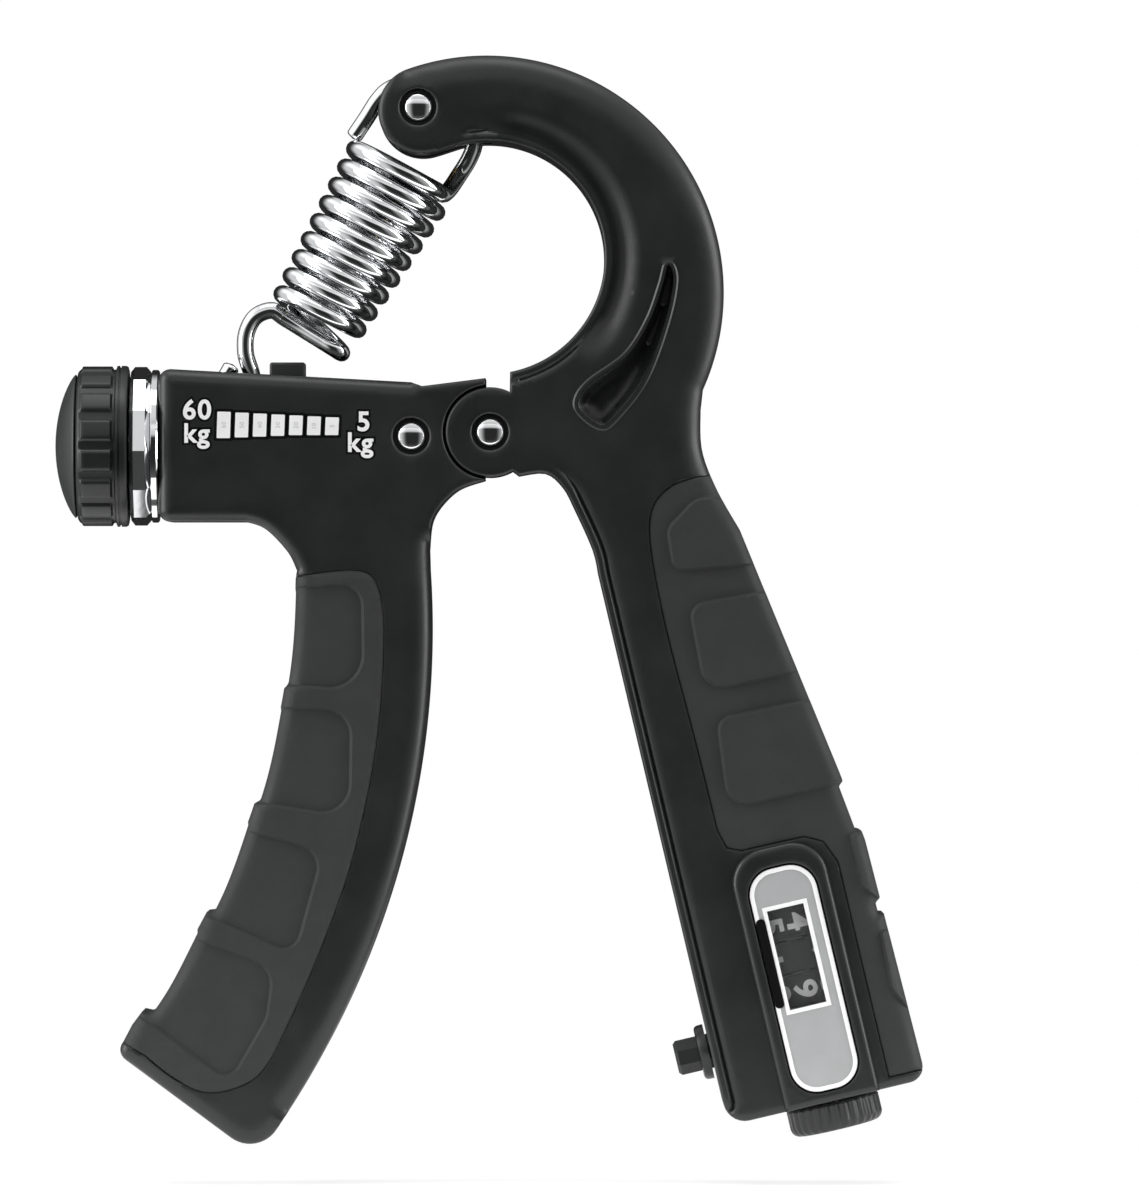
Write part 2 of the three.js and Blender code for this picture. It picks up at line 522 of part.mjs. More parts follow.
const coilStretch = (from, to) =>
  Array.from({ length: Math.round((to - from) * 10) + 1 }, (_, i) => coilPoint(from + i / 10));

function spring() {
  const loop = [[6, -8.2], [5.9, -5]].map(([s, t]) => springPoint(s, t));
  for (let a = 0; a <= 180; a += 20) {
    loop.push(springPoint(
      LOOP.side + LOOP.halfWidth * Math.cos(rad(a)), LOOP.along + LOOP.halfHeight * Math.sin(rad(a))));
  }
  loop.push(springPoint(-10.2, -4.8));
  const split = 4.5;
  addPiece('spring_upper', wire([...loop, ...coilStretch(0.06, split)], WIRE_R, 76), chrome);
  const foot = COIL.top - COIL.pitch * COIL.turns - 2.9;
  const across = [[-9.2, -0.6], [-6.5, -0.2], [-2, 0], [0.4, 0]].map(([s, y]) => springPoint(s, foot, y));
  const lowerTurns = coilStretch(split + 0.03, COIL.turns - 0.06);
  addPiece('spring_lower', wire([...lowerTurns, ...across], WIRE_R, 66), chrome);
  const { x, z, r } = HOOK_PIN;
  const bend = r + WIRE_R + 0.1;
  const route = [
    springPoint(0.75, foot), springPoint(2.4, foot), [-34.6, 0, 16.6], [-35.6, 0, 12.4], [x + bend, 0, 8.2]];
  for (let a = 0; a >= -180; a -= 30) {
    route.push([x + bend * Math.cos(rad(a)), 0, z + bend * Math.sin(rad(a))]);
  }
  route.push([x - bend + 0.5, 0, 6.8], [x - 0.6, 0, 9.6]);
  addPiece('spring_hook', wire(route, WIRE_R, 34), chrome);
  addPiece('spring_bush', bush(SPRING_BUSH_R, SPRING_SLOT - 0.1, [SPRING_RIVET.x, SPRING_RIVET.z]), brass);
}

// ---------------------------------------------------------------- squeeze counter
function counterCase() {
  const { x, z, halfWidth, halfHeight } = WINDOW;
  const view = box(x - halfWidth, x + halfWidth, -12, -9, z - halfHeight, z + halfHeight);
  addPiece('counter_faceplate', slab(faceOutline(0), -11.2, -10.0).subtract(view), silver, counterFrame);
  addPiece('window_lens', box(x - 3.3, x + 3.3, -9.9, -9.1, z - 8.0, z + 8.0), clear, counterFrame);
  const [high, low] = [12.7, -11.4];
  addPiece('counter_frame', cut(join([
    box(-6, 6.4, -7.4, 7.9, high - 1.2, high), box(-6, 6.4, -7.4, 7.9, low, low + 1.2),
    box(-6, 2, 6.8, 7.9, low, high), box(-7.2, -6.0, -6.5, 7.9, low, -4.2),
  ]), [
    rodZ(1.3, low - 1, high + 1, [0, WHEEL.y], 16), rodZ(0.75, low - 1, high + 1, [PINION.x, PINION.y], 12),
    box(-8, -5, -2.0, 4.8, PLUNGER.z - 1.2, PLUNGER.z + 1.2),
  ]), steel, counterFrame);
  const [bore, rim] = [PLUNGER.r + 0.1, 4.1];
  const collar = [
    [bore, PLUNGER.collar], [rim - 0.4, PLUNGER.collar], [rim, PLUNGER.collar + 0.4],
    [rim, PLUNGER.face - GAP], [bore, PLUNGER.face - GAP], [bore, PLUNGER.collar],
  ];
  addPiece('plunger_collar', turned(collar, 'x', [0, 0, PLUNGER.z]), black, counterFrame);
}

function counterWheels() {
  const at = [0, WHEEL.y, 0];
  const bore = 1.3;
  ['hundreds', 'tens', 'units'].forEach((name, i) => {
    const high = WHEEL.top - i * WHEEL.pitch - 0.15;
    const profile = ringProfile(bore, WHEEL.r, high - WHEEL.width, high);
    addPiece(`${name}_wheel`, turned(profile, 'z', at, 30), wheelBlack, counterFrame);
  });
  const [tip, root] = [4.6, 3.5];
  const teeth = Array.from({ length: 10 }, (_, i) => [
    pt(tip, 0).rotateAround(pt(0, 0), rad(36 * i)),
    pt(root, 0).rotateAround(pt(0, 0), rad(36 * i + 4)),
  ]).flat();
  const ratchet = new THREE.ExtrudeGeometry(new THREE.Shape(teeth), { depth: 2.0, bevelEnabled: false });
  const hub = turned(ringProfile(bore, 2.6, -9.6, -4.4), 'z', at);
  addPiece('ratchet_wheel', solidFrom(ratchet.translate(0, WHEEL.y, -8.6)).add(hub)
    .subtract(rodZ(bore, -12, 0, [0, WHEEL.y])), steel, counterFrame);
  const star = Array.from({ length: 16 }, (_, i) => {
    const r = i % 2 ? PINION.r : PINION.r - 0.6;
    return pt(PINION.x + r * Math.cos((i * Math.PI) / 8), PINION.y + r * Math.sin((i * Math.PI) / 8));
  });
  [['upper', 0], ['lower', 1]].forEach(([name, i]) => {
    const middle = WHEEL.top - (i + 1) * WHEEL.pitch;
    const toothed = new THREE.ExtrudeGeometry(new THREE.Shape(star), { depth: 3.6, bevelEnabled: false });
    addPiece(`transfer_pinion_${name}`, solidFrom(toothed.translate(0, 0, middle - 1.8))
      .subtract(rodZ(0.75, -12, 14, [PINION.x, PINION.y], 12)), nylon, counterFrame);
  });
  addPiece('pinion_shaft', rodZ(0.7, -11.3, 12.6, [PINION.x, PINION.y], 12), steel, counterFrame);
  addPiece('wheel_shaft', rodZ(1.2, RESET.bottom + 1.6, 13.6, [0, WHEEL.y]), steel, counterFrame);
  const fingers = [0, 1, 2].map((i) => {
    const middle = WHEEL.top - (i + 0.5) * WHEEL.pitch;
    return join([
      box(-5.2, -1.0, 5.2, 5.5, middle - 0.9, middle + 0.9),
      box(-1.4, -1.0, 4.7, 5.5, middle - 0.9, middle + 0.9),
    ]);
  });
  const comb = join([box(-5.6, -4.6, 5.2, 6.7, -4, 10.6), ...fingers]);
  addPiece('detent_spring', comb, steel, counterFrame);
}

function counterPlunger() {
  const { z, r, tip } = PLUNGER;
  const flange = -12.2;
  const [flangeR, spigotR, spigotEnd] = [3.6, 1.2, -9.7];
  const profile = [
    [0, tip], [r - 0.4, tip], [r, tip + 0.4], [r, flange - 0.9], [flangeR, flange - 0.9], [flangeR, flange],
    [spigotR, flange], [spigotR, spigotEnd], [0, spigotEnd],
  ];
  addPiece('plunger', turned(profile, 'x', [0, 0, z]), black, counterFrame);
  const pawl = [[3.0, flange + GAP], [3.0, -3.4], [2.9, -2.6], [4.0, -2.6], [4.0, flange + GAP]];
  const blade = new THREE.ExtrudeGeometry(
    new THREE.Shape(pawl.map(([y, x]) => pt(x, y))), { depth: 1.4, bevelEnabled: false });
  addPiece('drive_pawl', solidFrom(blade.translate(0, 0, z - 0.7)), steel, counterFrame);
  const [from, to] = [flange + 0.35, -7.2 - 0.35];
  const turns = 3;
  const coil = Array.from({ length: turns * 10 + 1 }, (_, i) => {
    const a = (i * Math.PI) / 5;
    return [from + ((to - from) * i) / (turns * 10), 2.3 * Math.sin(a), z + 2.3 * Math.cos(a)];
  });
  addPiece('plunger_spring', wire(coil, 0.25, turns * 12, 5), steel, counterFrame);
}

function resetKnob() {
  const { r, top, bottom } = RESET;
  const knob = turned([[0, bottom], [r - 1.2, bottom], [r, bottom + 1.2], [r, top], [0, top]],
    'z', [0, WHEEL.y, 0], 30);
  addPiece('reset_knob', knob.subtract(rodZ(1.25, bottom + 1.5, top + 1, [0, WHEEL.y])), black, counterFrame);
}

hookHandle();
leverHandle();
adjuster();
carriage();
spring();
counterCase();
counterWheels();
counterPlunger();
resetKnob();

export default part;
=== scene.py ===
"""Looks of the adjustable hand-grip trainer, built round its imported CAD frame.

Shapes are drawn in millimetres from the main pivot: x to the right, z up, and y is the depth, with
the front facing -y. Most pieces are reliefs: a flat outline is filled with triangles that follow its
feature lines, and a front and a back height are worked out at each of their corners.
"""

import json
import math

import bmesh
import bpy
import numpy as np
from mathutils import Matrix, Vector, kdtree
from mathutils.geometry import delaunay_2d_cdt


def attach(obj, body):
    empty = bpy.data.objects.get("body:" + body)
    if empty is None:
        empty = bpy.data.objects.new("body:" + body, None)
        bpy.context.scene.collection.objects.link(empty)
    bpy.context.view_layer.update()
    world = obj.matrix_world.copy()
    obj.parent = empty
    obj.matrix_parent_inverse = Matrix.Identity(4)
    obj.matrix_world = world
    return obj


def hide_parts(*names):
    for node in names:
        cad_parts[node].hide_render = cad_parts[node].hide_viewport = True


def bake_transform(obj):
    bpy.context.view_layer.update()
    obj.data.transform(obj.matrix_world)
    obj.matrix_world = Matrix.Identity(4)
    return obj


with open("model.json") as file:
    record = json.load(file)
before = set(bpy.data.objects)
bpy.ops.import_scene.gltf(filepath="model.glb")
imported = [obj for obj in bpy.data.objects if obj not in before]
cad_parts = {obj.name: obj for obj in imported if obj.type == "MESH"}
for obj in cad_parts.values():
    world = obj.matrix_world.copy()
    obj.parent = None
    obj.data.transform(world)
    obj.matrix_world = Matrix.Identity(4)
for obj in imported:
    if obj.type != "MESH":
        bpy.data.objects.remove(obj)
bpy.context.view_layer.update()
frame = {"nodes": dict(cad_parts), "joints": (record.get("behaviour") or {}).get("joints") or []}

# ---------------------------------------------------------------- driving dimensions, in mm
MM = 0.001
PIVOT = 1000 * np.array(next(j["pos_m"] for j in frame["joints"] if j["name"] == "grip_squeeze"))
HALF = 10.5  # half thickness of both handles
SKIN = 1.3  # thickness of the soft overmoulds
GAP = 0.3  # clearance between neighbours
SEAM_LINE = 0.27  # how far the overmoulds fill that clearance
UNDER = HALF - SKIN  # face of the shells below an overmould
HAIR = 0.02  # half width of a sheer step
GRID = 0.8  # spacing of the corners on broad faces
LINE = 0.5  # spacing of the corners along edges

ARM_OUT, ARM_OUT_R = (-0.53, 20.52), 34.94
ARM_IN, ARM_IN_R = (-0.32, 25.67), 17.14
HOOK_END, HOOK_END_R = (-10.0, 47.3), 6.47
HUB_R = 6.6
SEAM = HUB_R + GAP
HEEL = (64.2, -95.1)
TOE = (35.07, -102.0)
BARREL = {"left": -48.8, "top": 9.26, "bottom": -13.2, "axis": -1.98}
FINGER_ARC, FINGER_R = (-141.5, -19.3), 113.2
LEVER_ARC, LEVER_R = (-138.7, -29.0), 130.1
RIB_START, RIB_STEP = -1.2, -8.93
RIB_HEIGHTS = [0.3, 0.5, 0.7, 1.0, 1.4]
TONGUE, CHEEK = 4.5, 5.5
RIVET = {"shank": 1.6, "head": 2.13, "well": 2.7, "seat": 9.3, "crown": 0.85}
BARREL_RIVET = (-11.6, -0.6)
SPRING_RIVET = (-10.6, 47.8)
SCREW = {"head": 2.0, "well": 2.25, "seat": 8.0, "shank": 0.9, "tip": -4.5}
HOOK_SCREWS = [(3.5, 49.2), (23.5, -4.0), (30.6, -62.0)]
COUNTER_SCREWS = [(-11.5, -15.4), (5.9, -15.4)]
LEVER_SCREWS = [(-44.0, -10.5), (-22.0, -11.8), (-15.3, -57.0), (-34.8, -99.8)]
KNOB_R, SCREW_R, RIBS = 11.9, 2.0, 16
HOOK_PIN, PIN_R = (-37.8, 4.2), 1.25
POINTER = {"left": -32.6, "right": -27.3, "top": 10.4, "half": 2.3}
BARREL_END = -16.3
WIRE_R = 1.25
COIL = {"top": -8.5, "pitch": 2.98, "turns": 9, "r": (7.8, 6.1), "side": (-2.65, -3.45)}
LOOP = {"side": -2.15, "along": -2.0, "across": 8.0, "rise": 6.1}
SPRING_SLOT = 1.9
FOOT_DROP = 1.3  # from the last turn to the straight run across the spring
COUNTER, TILT = np.array([46.1, -80.3]), 13.28
FACE = {"x": 5.0, "z": 16.75, "corner": 3.9}
WINDOW = {"x": -0.26, "z": 3.33, "half_x": 2.75, "half_z": 7.45}
POD = {"x": 7.1, "top": 20.0, "bottom": -18.6, "corner": 5.2, "front": 11.4}
CAVITY = {"left": -13.3, "right": 9.2, "top": 14.5, "bottom": -12.2, "half": 8.3}
WHEEL = {"r": 6.5, "pitch": 5.0, "top": 10.85, "y": -2.0, "width": 4.7}
PLUNGER = {"z": -7.6, "r": 2.75, "tip": -21.0, "collar": -17.5, "face": -15.75}
RESET = {"r": 6.95, "top": -18.9, "bottom": -23.0}


# ---------------------------------------------------------------- lines
def line(*parts):
    """Joins points and runs of points into one array, without repeats."""
    points = np.vstack([np.atleast_2d(np.array(p, float)) for p in parts])
    keep = np.ones(len(points), bool)
    keep[1:] = np.linalg.norm(np.diff(points, axis=0), axis=1) > 1e-6
    return points[keep]


def arc(centre, r, start, end, steps=24):
    a = np.radians(np.linspace(start, end, steps + 1))
    return np.column_stack([centre[0] + r * np.cos(a), centre[1] + r * np.sin(a)])


def corner(before, at, after, r, steps=7):
    """A corner of a polygon, rounded with radius r."""
    at = np.array(at, float)
    u, v = (np.array(p, float) - at for p in (before, after))
    u, v = u / np.linalg.norm(u), v / np.linalg.norm(v)
    half = math.acos(np.clip(u @ v, -1, 1)) / 2
    centre = at + (u + v) / np.linalg.norm(u + v) * r / math.sin(half)
    start, end = (at + w * r / math.tan(half) - centre for w in (u, v))
    a0 = math.degrees(math.atan2(start[1], start[0]))
    turn = math.degrees(math.atan2(start[0] * end[1] - start[1] * end[0], start @ end))
    return arc(centre, r, a0, a0 + turn, steps)


def rounded(corners, r, steps=7):
    n = len(corners)
    return line(*[corner(corners[i - 1], corners[i], corners[(i + 1) % n], r, steps) for i in range(n)])


def rounded_box(x0, x1, z0, z1, r, steps=7):
    return rounded([(x0, z0), (x1, z0), (x1, z1), (x0, z1)], r, steps)


def smooth(points, steps=24, closed=False):
    """Evenly stepped Catmull-Rom curve through the points."""
    p = np.array(points, float)
    n = len(p)
    spans = n if closed else n - 1
    at = np.linspace(0, spans, steps + 1)[: steps if closed else None]
    i = np.minimum(at.astype(int), spans - 1)
    t = (at - i)[:, None]
    pick = (lambda k: p[k % n]) if closed else (lambda k: p[np.clip(k, 0, n - 1)])
    p0, p1, p2, p3 = pick(i - 1), pick(i), pick(i + 1), pick(i + 2)
    v0, v1 = (p2 - p0) / 2, (p3 - p1) / 2
    return (2 * p1 - 2 * p2 + v0 + v1) * t**3 + (3 * p2 - 3 * p1 - 2 * v0 - v1) * t**2 + v0 * t + p1


def offset(points, distance):
    """Moves each point of an open line to the left of its direction."""
    ahead = np.vstack([points[1:], points[-1:]]) - np.vstack([points[:1], points[:-1]])
    left = np.column_stack([-ahead[:, 1], ahead[:, 0]])
    return points + distance * left / np.linalg.norm(left, axis=1)[:, None]


def dense(points, closed=True, step=None):
    """Splits the long spans of a line."""
    points = line(points)
    ends = np.roll(points, -1, axis=0) if closed else points[1:]
    out = []
    for a, b in zip(points, ends):
        n = max(1, math.ceil(np.linalg.norm(b - a) / (step or LINE)))
        out += [a + (b - a) * k / n for k in range(n)]
    return line(out) if closed else line(out, points[-1])


def turn_by(points, degrees):
    c, s = math.cos(math.radians(degrees)), math.sin(math.radians(degrees))
    return np.column_stack([c * points[:, 0] - s * points[:, 1], s * points[:, 0] + c * points[:, 1]])


def from_counter(points):
    """Points in the counter's tilted frame, as points from the pivot."""
    return turn_by(np.atleast_2d(np.array(points, float)), TILT) + COUNTER


def to_counter(points):
    return turn_by(points - COUNTER, -TILT)


def distance(points, path, closed=True):
    """Distance from each point to a line."""
    a = path if closed else path[:-1]
    ab = (np.roll(path, -1, axis=0) if closed else path[1:]) - a
    out = np.empty(len(points))
    for k in range(0, len(points), 3000):
        p = points[k : k + 3000, None] - a
        t = np.clip((p * ab).sum(2) / (ab * ab).sum(1), 0, 1)
        out[k : k + 3000] = np.sqrt(((p - t[..., None] * ab) ** 2).sum(2)).min(1)
    return out


def inside(points, loop):
    x0, z0 = loop.T
    x1, z1 = np.roll(loop, -1, axis=0).T
    slope = (x1 - x0) / np.where(z1 == z0, 1, z1 - z0)
    out = np.empty(len(points), bool)
    for k in range(0, len(points), 3000):
        x, z = points[k : k + 3000, :1], points[k : k + 3000, 1:]
        crossed = ((z0 > z) != (z1 > z)) & (x < x0 + (z - z0) * slope)
        out[k : k + 3000] = crossed.sum(1) % 2 == 1
    return out


def depth(points, loop):
    """Distance to a loop, positive inside it."""
    return np.where(inside(points, loop), 1, -1) * distance(points, loop)


def ease(t):
    t = np.clip(t, 0, 1)
    return t * t * (3 - 2 * t)


def drop(d, run, rise):
    """How far a rounded edge has fallen at a distance d in from it."""
    t = np.clip(1 - d / run, 0, 1)
    return rise * (1 - np.sqrt(1 - t * t))


def round_rings(run):
    return [0] + [run * t for t in (0.04, 0.12, 0.25, 0.45, 0.7, 1.0)]


# ---------------------------------------------------------------- reliefs
class Cells:
    """Triangles that fill an area of the x-z plane and follow its feature lines."""

    def __init__(self):
        self.points, self.edges = [], []

    def follow(self, path, offsets=(0,), closed=True):
        """Adds lines beside a path, at distances to its left, left out where it bends too tightly."""
        ahead = np.roll(path, -1, axis=0) - path
        if not closed:
            ahead[-1] = ahead[-2]
        ahead /= np.linalg.norm(ahead, axis=1)[:, None]
        behind = np.roll(ahead, 1, axis=0)
        if not closed:
            behind[0] = ahead[0]
        na, nb = (np.column_stack([-v[:, 1], v[:, 0]]) for v in (ahead, behind))
        mitre = (na + nb) / (1 + np.clip((na * nb).sum(1), -0.6, 1))[:, None]
        for o in offsets:
            moved = path + o * mitre
            good = np.ones(len(path), bool) if o == 0 else distance(moved, path, closed) > 0.97 * abs(o)
            number = np.full(len(path), -1)
            number[good] = len(self.points) + np.arange(good.sum())
            self.points += list(moved[good])
            for i in range(len(path) if closed else len(path) - 1):
                a, b = number[i], number[(i + 1) % len(path)]
                if a >= 0 and b >= 0:
                    self.edges.append((a, b))
        return self

    def fill(self, domain, spacing=GRID):
        """Corners and triangles of the area where domain(points) is true."""
        near = kdtree.KDTree(len(self.points))
        for i, p in enumerate(self.points):
            near.insert((p[0], p[1], 0), i)
        near.balance()
        lo, hi = np.min(self.points, axis=0), np.max(self.points, axis=0)
        rows = enumerate(np.arange(lo[1], hi[1], spacing * 0.866))
        grid = np.array([(x, z) for k, z in rows
                         for x in np.arange(lo[0] + spacing * 0.5 * (k % 2), hi[0], spacing)])
        grid = grid[domain(grid)]
        grid = [g for g in grid if near.find((g[0], g[1], 0))[2] > 0.55 * spacing]
        verts, _, faces, *_ = delaunay_2d_cdt(
            [Vector(p) for p in self.points + grid], self.edges, [], 0, 1e-5, False)
        p = np.array([v[:] for v in verts])
        t = np.array(faces)
        a, b, c = p[t[:, 0]], p[t[:, 1]], p[t[:, 2]]
        area = np.cross(b - a, c - a)
        t[area < 0] = t[area < 0][:, ::-1]
        t = t[(np.abs(area) > 1e-9) & domain((a + b + c) / 3)]
        return p, t


def rim(t):
    """Edges that only one triangle has, in that triangle's direction."""
    e = np.vstack([t[:, [0, 1]], t[:, [1, 2]], t[:, [2, 0]]])
    key = np.sort(e, axis=1)
    _, first, count = np.unique(key, axis=0, return_index=True, return_counts=True)
    return e[first[count == 1]]


def wall(edges, top, bottom):
    """Quads from the layer that starts at corner number top down to the one at bottom."""
    a, b = edges.T
    return np.column_stack([b + top, a + top, a + bottom, b + bottom])


def layers(p, levels):
    return np.vstack([np.column_stack([p[:, 0], y, p[:, 1]]) for y in levels])


def relief(cells, domain, front, back, rear=False, spacing=GRID):
    """A closed solid between y = -front and y = -back, or mirrored to the rear."""
    p, t = cells.fill(domain, spacing)
    n = len(p)
    verts = layers(p, [-front(p), -back(p)])
    faces = [*t.tolist(), *(t[:, ::-1] + n).tolist(), *wall(rim(t), 0, n).tolist()]
    return (verts * [1, -1, 1], [f[::-1] for f in faces]) if rear else (verts, faces)


def wrap(cells, domain, core, face, inner):
    """A skin over a core's front, rear and free edge: y runs from -face to face, less the core."""
    p, t = cells.fill(domain)
    n = len(p)
    height = face(p)
    verts = layers(p, [-height, np.full(n, -inner), np.full(n, inner), height])
    middle = p[t].mean(axis=1)
    over = core(middle)
    a, b = t[over], t[~over]
    faces = [*t.tolist(), *(t[:, ::-1] + 3 * n).tolist(), *(a[:, ::-1] + n).tolist(), *(a + 2 * n).tolist()]
    outer = {tuple(e) for e in rim(t).tolist()}
    for group, walls in ((a, [(0, n), (2 * n, 3 * n)]), (b, [(0, 3 * n)])):
        edges = np.array([e for e in rim(group).tolist() if tuple(e) in outer]).reshape(-1, 2)
        for top, bottom in walls:
            faces += wall(edges, top, bottom).tolist()
    shared = np.array([e for e in rim(b).tolist() if tuple(e) not in outer]).reshape(-1, 2)
    faces += wall(shared, n, 2 * n).tolist()
    return verts, faces


# ---------------------------------------------------------------- turned and swept shapes
def ring_faces(rings, sides):
    """Quads between neighbouring rings of corners."""
    loop = [(k, (k + 1) % sides) for k in range(sides)]
    return [[n + a, n + b, n + sides + b, n + sides + a]
            for n in range(0, (rings - 1) * sides, sides) for a, b in loop]


def turned(profile, axis="y", at=(0, 0, 0), sides=48, ripple=None):
    """A closed profile of (radius, height) points turned round an axis. ripple(angle, height) adds to
    the radius."""
    sides = sides
    prof = np.array(profile, float)
    angle = np.arange(sides) * 2 * math.pi / sides
    r = np.repeat(prof[:, :1], sides, axis=1)
    h = np.repeat(prof[:, 1:], sides, axis=1)
    if ripple:
        r = np.where(r > 1e-6, r + ripple(angle[None], h, r), r)
    u, v = r * np.cos(angle), r * np.sin(angle)
    order = {"x": (h, u, v), "y": (u, h, v), "z": (u, v, h)}[axis]
    return np.stack(order, axis=-1).reshape(-1, 3) + at, ring_faces(len(prof), sides)


def tube(path, r):
    """Round wire along points, with its ends rounded off."""
    sides = 14
    first, last = path[0] - path[1], path[-1] - path[-2]
    first, last = first / np.linalg.norm(first), last / np.linalg.norm(last)
    ends = [0.0, 0.35, 0.7, 0.92]
    path = np.vstack([[path[0] + first * r * 0.5 * (1 - e) for e in ends], path,
                      [path[-1] + last * r * 0.5 * (1 - e) for e in ends[::-1]]])
    taper = [math.sqrt(1 - (1 - e) ** 2) if e else 0.05 for e in ends]
    radius = np.array(taper + [1.0] * (len(path) - 8) + taper[::-1]) * r
    along = np.gradient(path, axis=0)
    along /= np.linalg.norm(along, axis=1)[:, None]
    side = np.cross(along[0], [0, 1, 0.01])
    verts = []
    for p, d, rr in zip(path, along, radius):
        side = side - d * (side @ d)
        side /= np.linalg.norm(side)
        other = np.cross(d, side)
        for k in range(sides):
            a = 2 * math.pi * k / sides
            verts.append(p + rr * (side * math.cos(a) + other * math.sin(a)))
    last_ring = [(len(path) - 1) * sides + k for k in range(sides)]
    return np.array(verts), [*ring_faces(len(path), sides), list(range(sides))[::-1], last_ring]


def through(points, spacing=0.45):
    """A centripetal Catmull-Rom curve through points in space."""
    p = np.array(points, float)
    p = np.vstack([2 * p[0] - p[1], p, 2 * p[-1] - p[-2]])
    out = []
    for i in range(1, len(p) - 2):
        q = p[i - 1 : i + 3]
        k = np.concatenate([[0], np.cumsum(np.sqrt(np.linalg.norm(np.diff(q, axis=0), axis=1)))])
        n = max(1, math.ceil(np.linalg.norm(q[2] - q[1]) / spacing))
        for t in k[1] + (k[2] - k[1]) * np.arange(n) / n:
            a = [q[j] + (q[j + 1] - q[j]) * (t - k[j]) / (k[j + 1] - k[j]) for j in range(3)]
            b = [a[j] + (a[j + 1] - a[j]) * (t - k[j]) / (k[j + 2] - k[j]) for j in range(2)]
            out.append(b[0] + (b[1] - b[0]) * (t - k[1]) / (k[2] - k[1]))
    return np.array(out + [p[-2]])


def merge(*shapes):
    verts, faces, n = [], [], 0
    for v, f in shapes:
        verts.append(v)
        faces += [[i + n for i in face] for face in f]
        n += len(v)
    return np.vstack(verts), faces


def counter_placed(shape):
    """A shape drawn in the counter's frame, placed from the pivot."""
    verts, faces = shape
    xz = from_counter(verts[:, [0, 2]])
    return np.column_stack([xz[:, 0], verts[:, 1], xz[:, 1]]), faces


# ---------------------------------------------------------------- pieces
def add_piece(name, shape, look, body, stands_for=(), slot=None, crease=32):
    """Makes a mesh object in metres in the frame, shaded smooth between its creases. The slot argument is not
    used."""
    verts, faces = shape
    mesh = bpy.data.meshes.new(name)
    mesh.from_pydata(((verts + PIVOT) * MM).tolist(), [], [list(f) for f in faces])
    mesh.validate()
    bm = bmesh.new()
    bm.from_mesh(mesh)
    bmesh.ops.remove_doubles(bm, verts=bm.verts, dist=1e-7)
    bmesh.ops.dissolve_degenerate(bm, edges=bm.edges, dist=1e-7)
    bmesh.ops.recalc_face_normals(bm, faces=bm.faces)
    limit = math.radians(crease)
    for face in bm.faces:
        face.smooth = True
    for edge in bm.edges:
        edge.smooth = len(edge.link_faces) == 2 and edge.calc_face_angle() < limit
    bm.to_mesh(mesh)
    bm.free()
    mesh.materials.append(LOOKS[look])
    piece = bpy.data.objects.new(name, mesh)
    bpy.context.scene.collection.objects.link(piece)
    if body:
        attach(piece, body)
    if stands_for:
        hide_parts(*stands_for)
    slot = slot or look
    return piece


# ---------------------------------------------------------------- materials
def material(name, colour, roughness, metallic=0.0, grain=None, patches=0.0, spread=0.0, **sockets):
    """A shader with its own grain. grain is (size in mm, depth in mm); patches is how far the colour
    varies and spread how far the roughness does."""
    look = bpy.data.materials.new(name)
    look.use_nodes = True
    tree = look.node_tree
    shader = tree.nodes["Principled BSDF"]
    shader.inputs["Base Color"].default_value = (*colour, 1)
    shader.inputs["Roughness"].default_value = roughness
    shader.inputs["Metallic"].default_value = metallic
    for socket, value in sockets.items():
        shader.inputs[socket.replace("_", " ")].default_value = value
    place = tree.nodes.new("ShaderNodeTexCoord").outputs["Object"]

    def noise(size, detail):
        node = tree.nodes.new("ShaderNodeTexNoise")
        node.inputs["Scale"].default_value = 1000 / size
        node.inputs["Detail"].default_value = detail
        tree.links.new(place, node.inputs["Vector"])
        return node.outputs["Fac"]

    def spread_over(value, low, high):
        node = tree.nodes.new("ShaderNodeMapRange")
        node.inputs["From Min"].default_value = 0.3
        node.inputs["From Max"].default_value = 0.7
        node.inputs["To Min"].default_value = low
        node.inputs["To Max"].default_value = high
        tree.links.new(value, node.inputs["Value"])
        return node.outputs["Result"]

    if spread:
        soft = noise(9, 3)
        tree.links.new(spread_over(soft, roughness - spread, roughness + spread), shader.inputs["Roughness"])
    if patches:
        mix = tree.nodes.new("ShaderNodeMix")
        mix.data_type = "RGBA"
        mix.inputs["A"].default_value = (*[c * (1 - patches) for c in colour], 1)
        mix.inputs["B"].default_value = (*[c * (1 + patches) for c in colour], 1)
        tree.links.new(spread_over(noise(4, 4), 0, 1), mix.inputs["Factor"])
        tree.links.new(mix.outputs["Result"], shader.inputs["Base Color"])
    if grain:
        bump = tree.nodes.new("ShaderNodeBump")
        bump.inputs["Strength"].default_value = 1.0
        bump.inputs["Distance"].default_value = grain[1] * MM
        tree.links.new(noise(grain[0], 2), bump.inputs["Height"])
        tree.links.new(bump.outputs["Normal"], shader.inputs["Normal"])
    return look


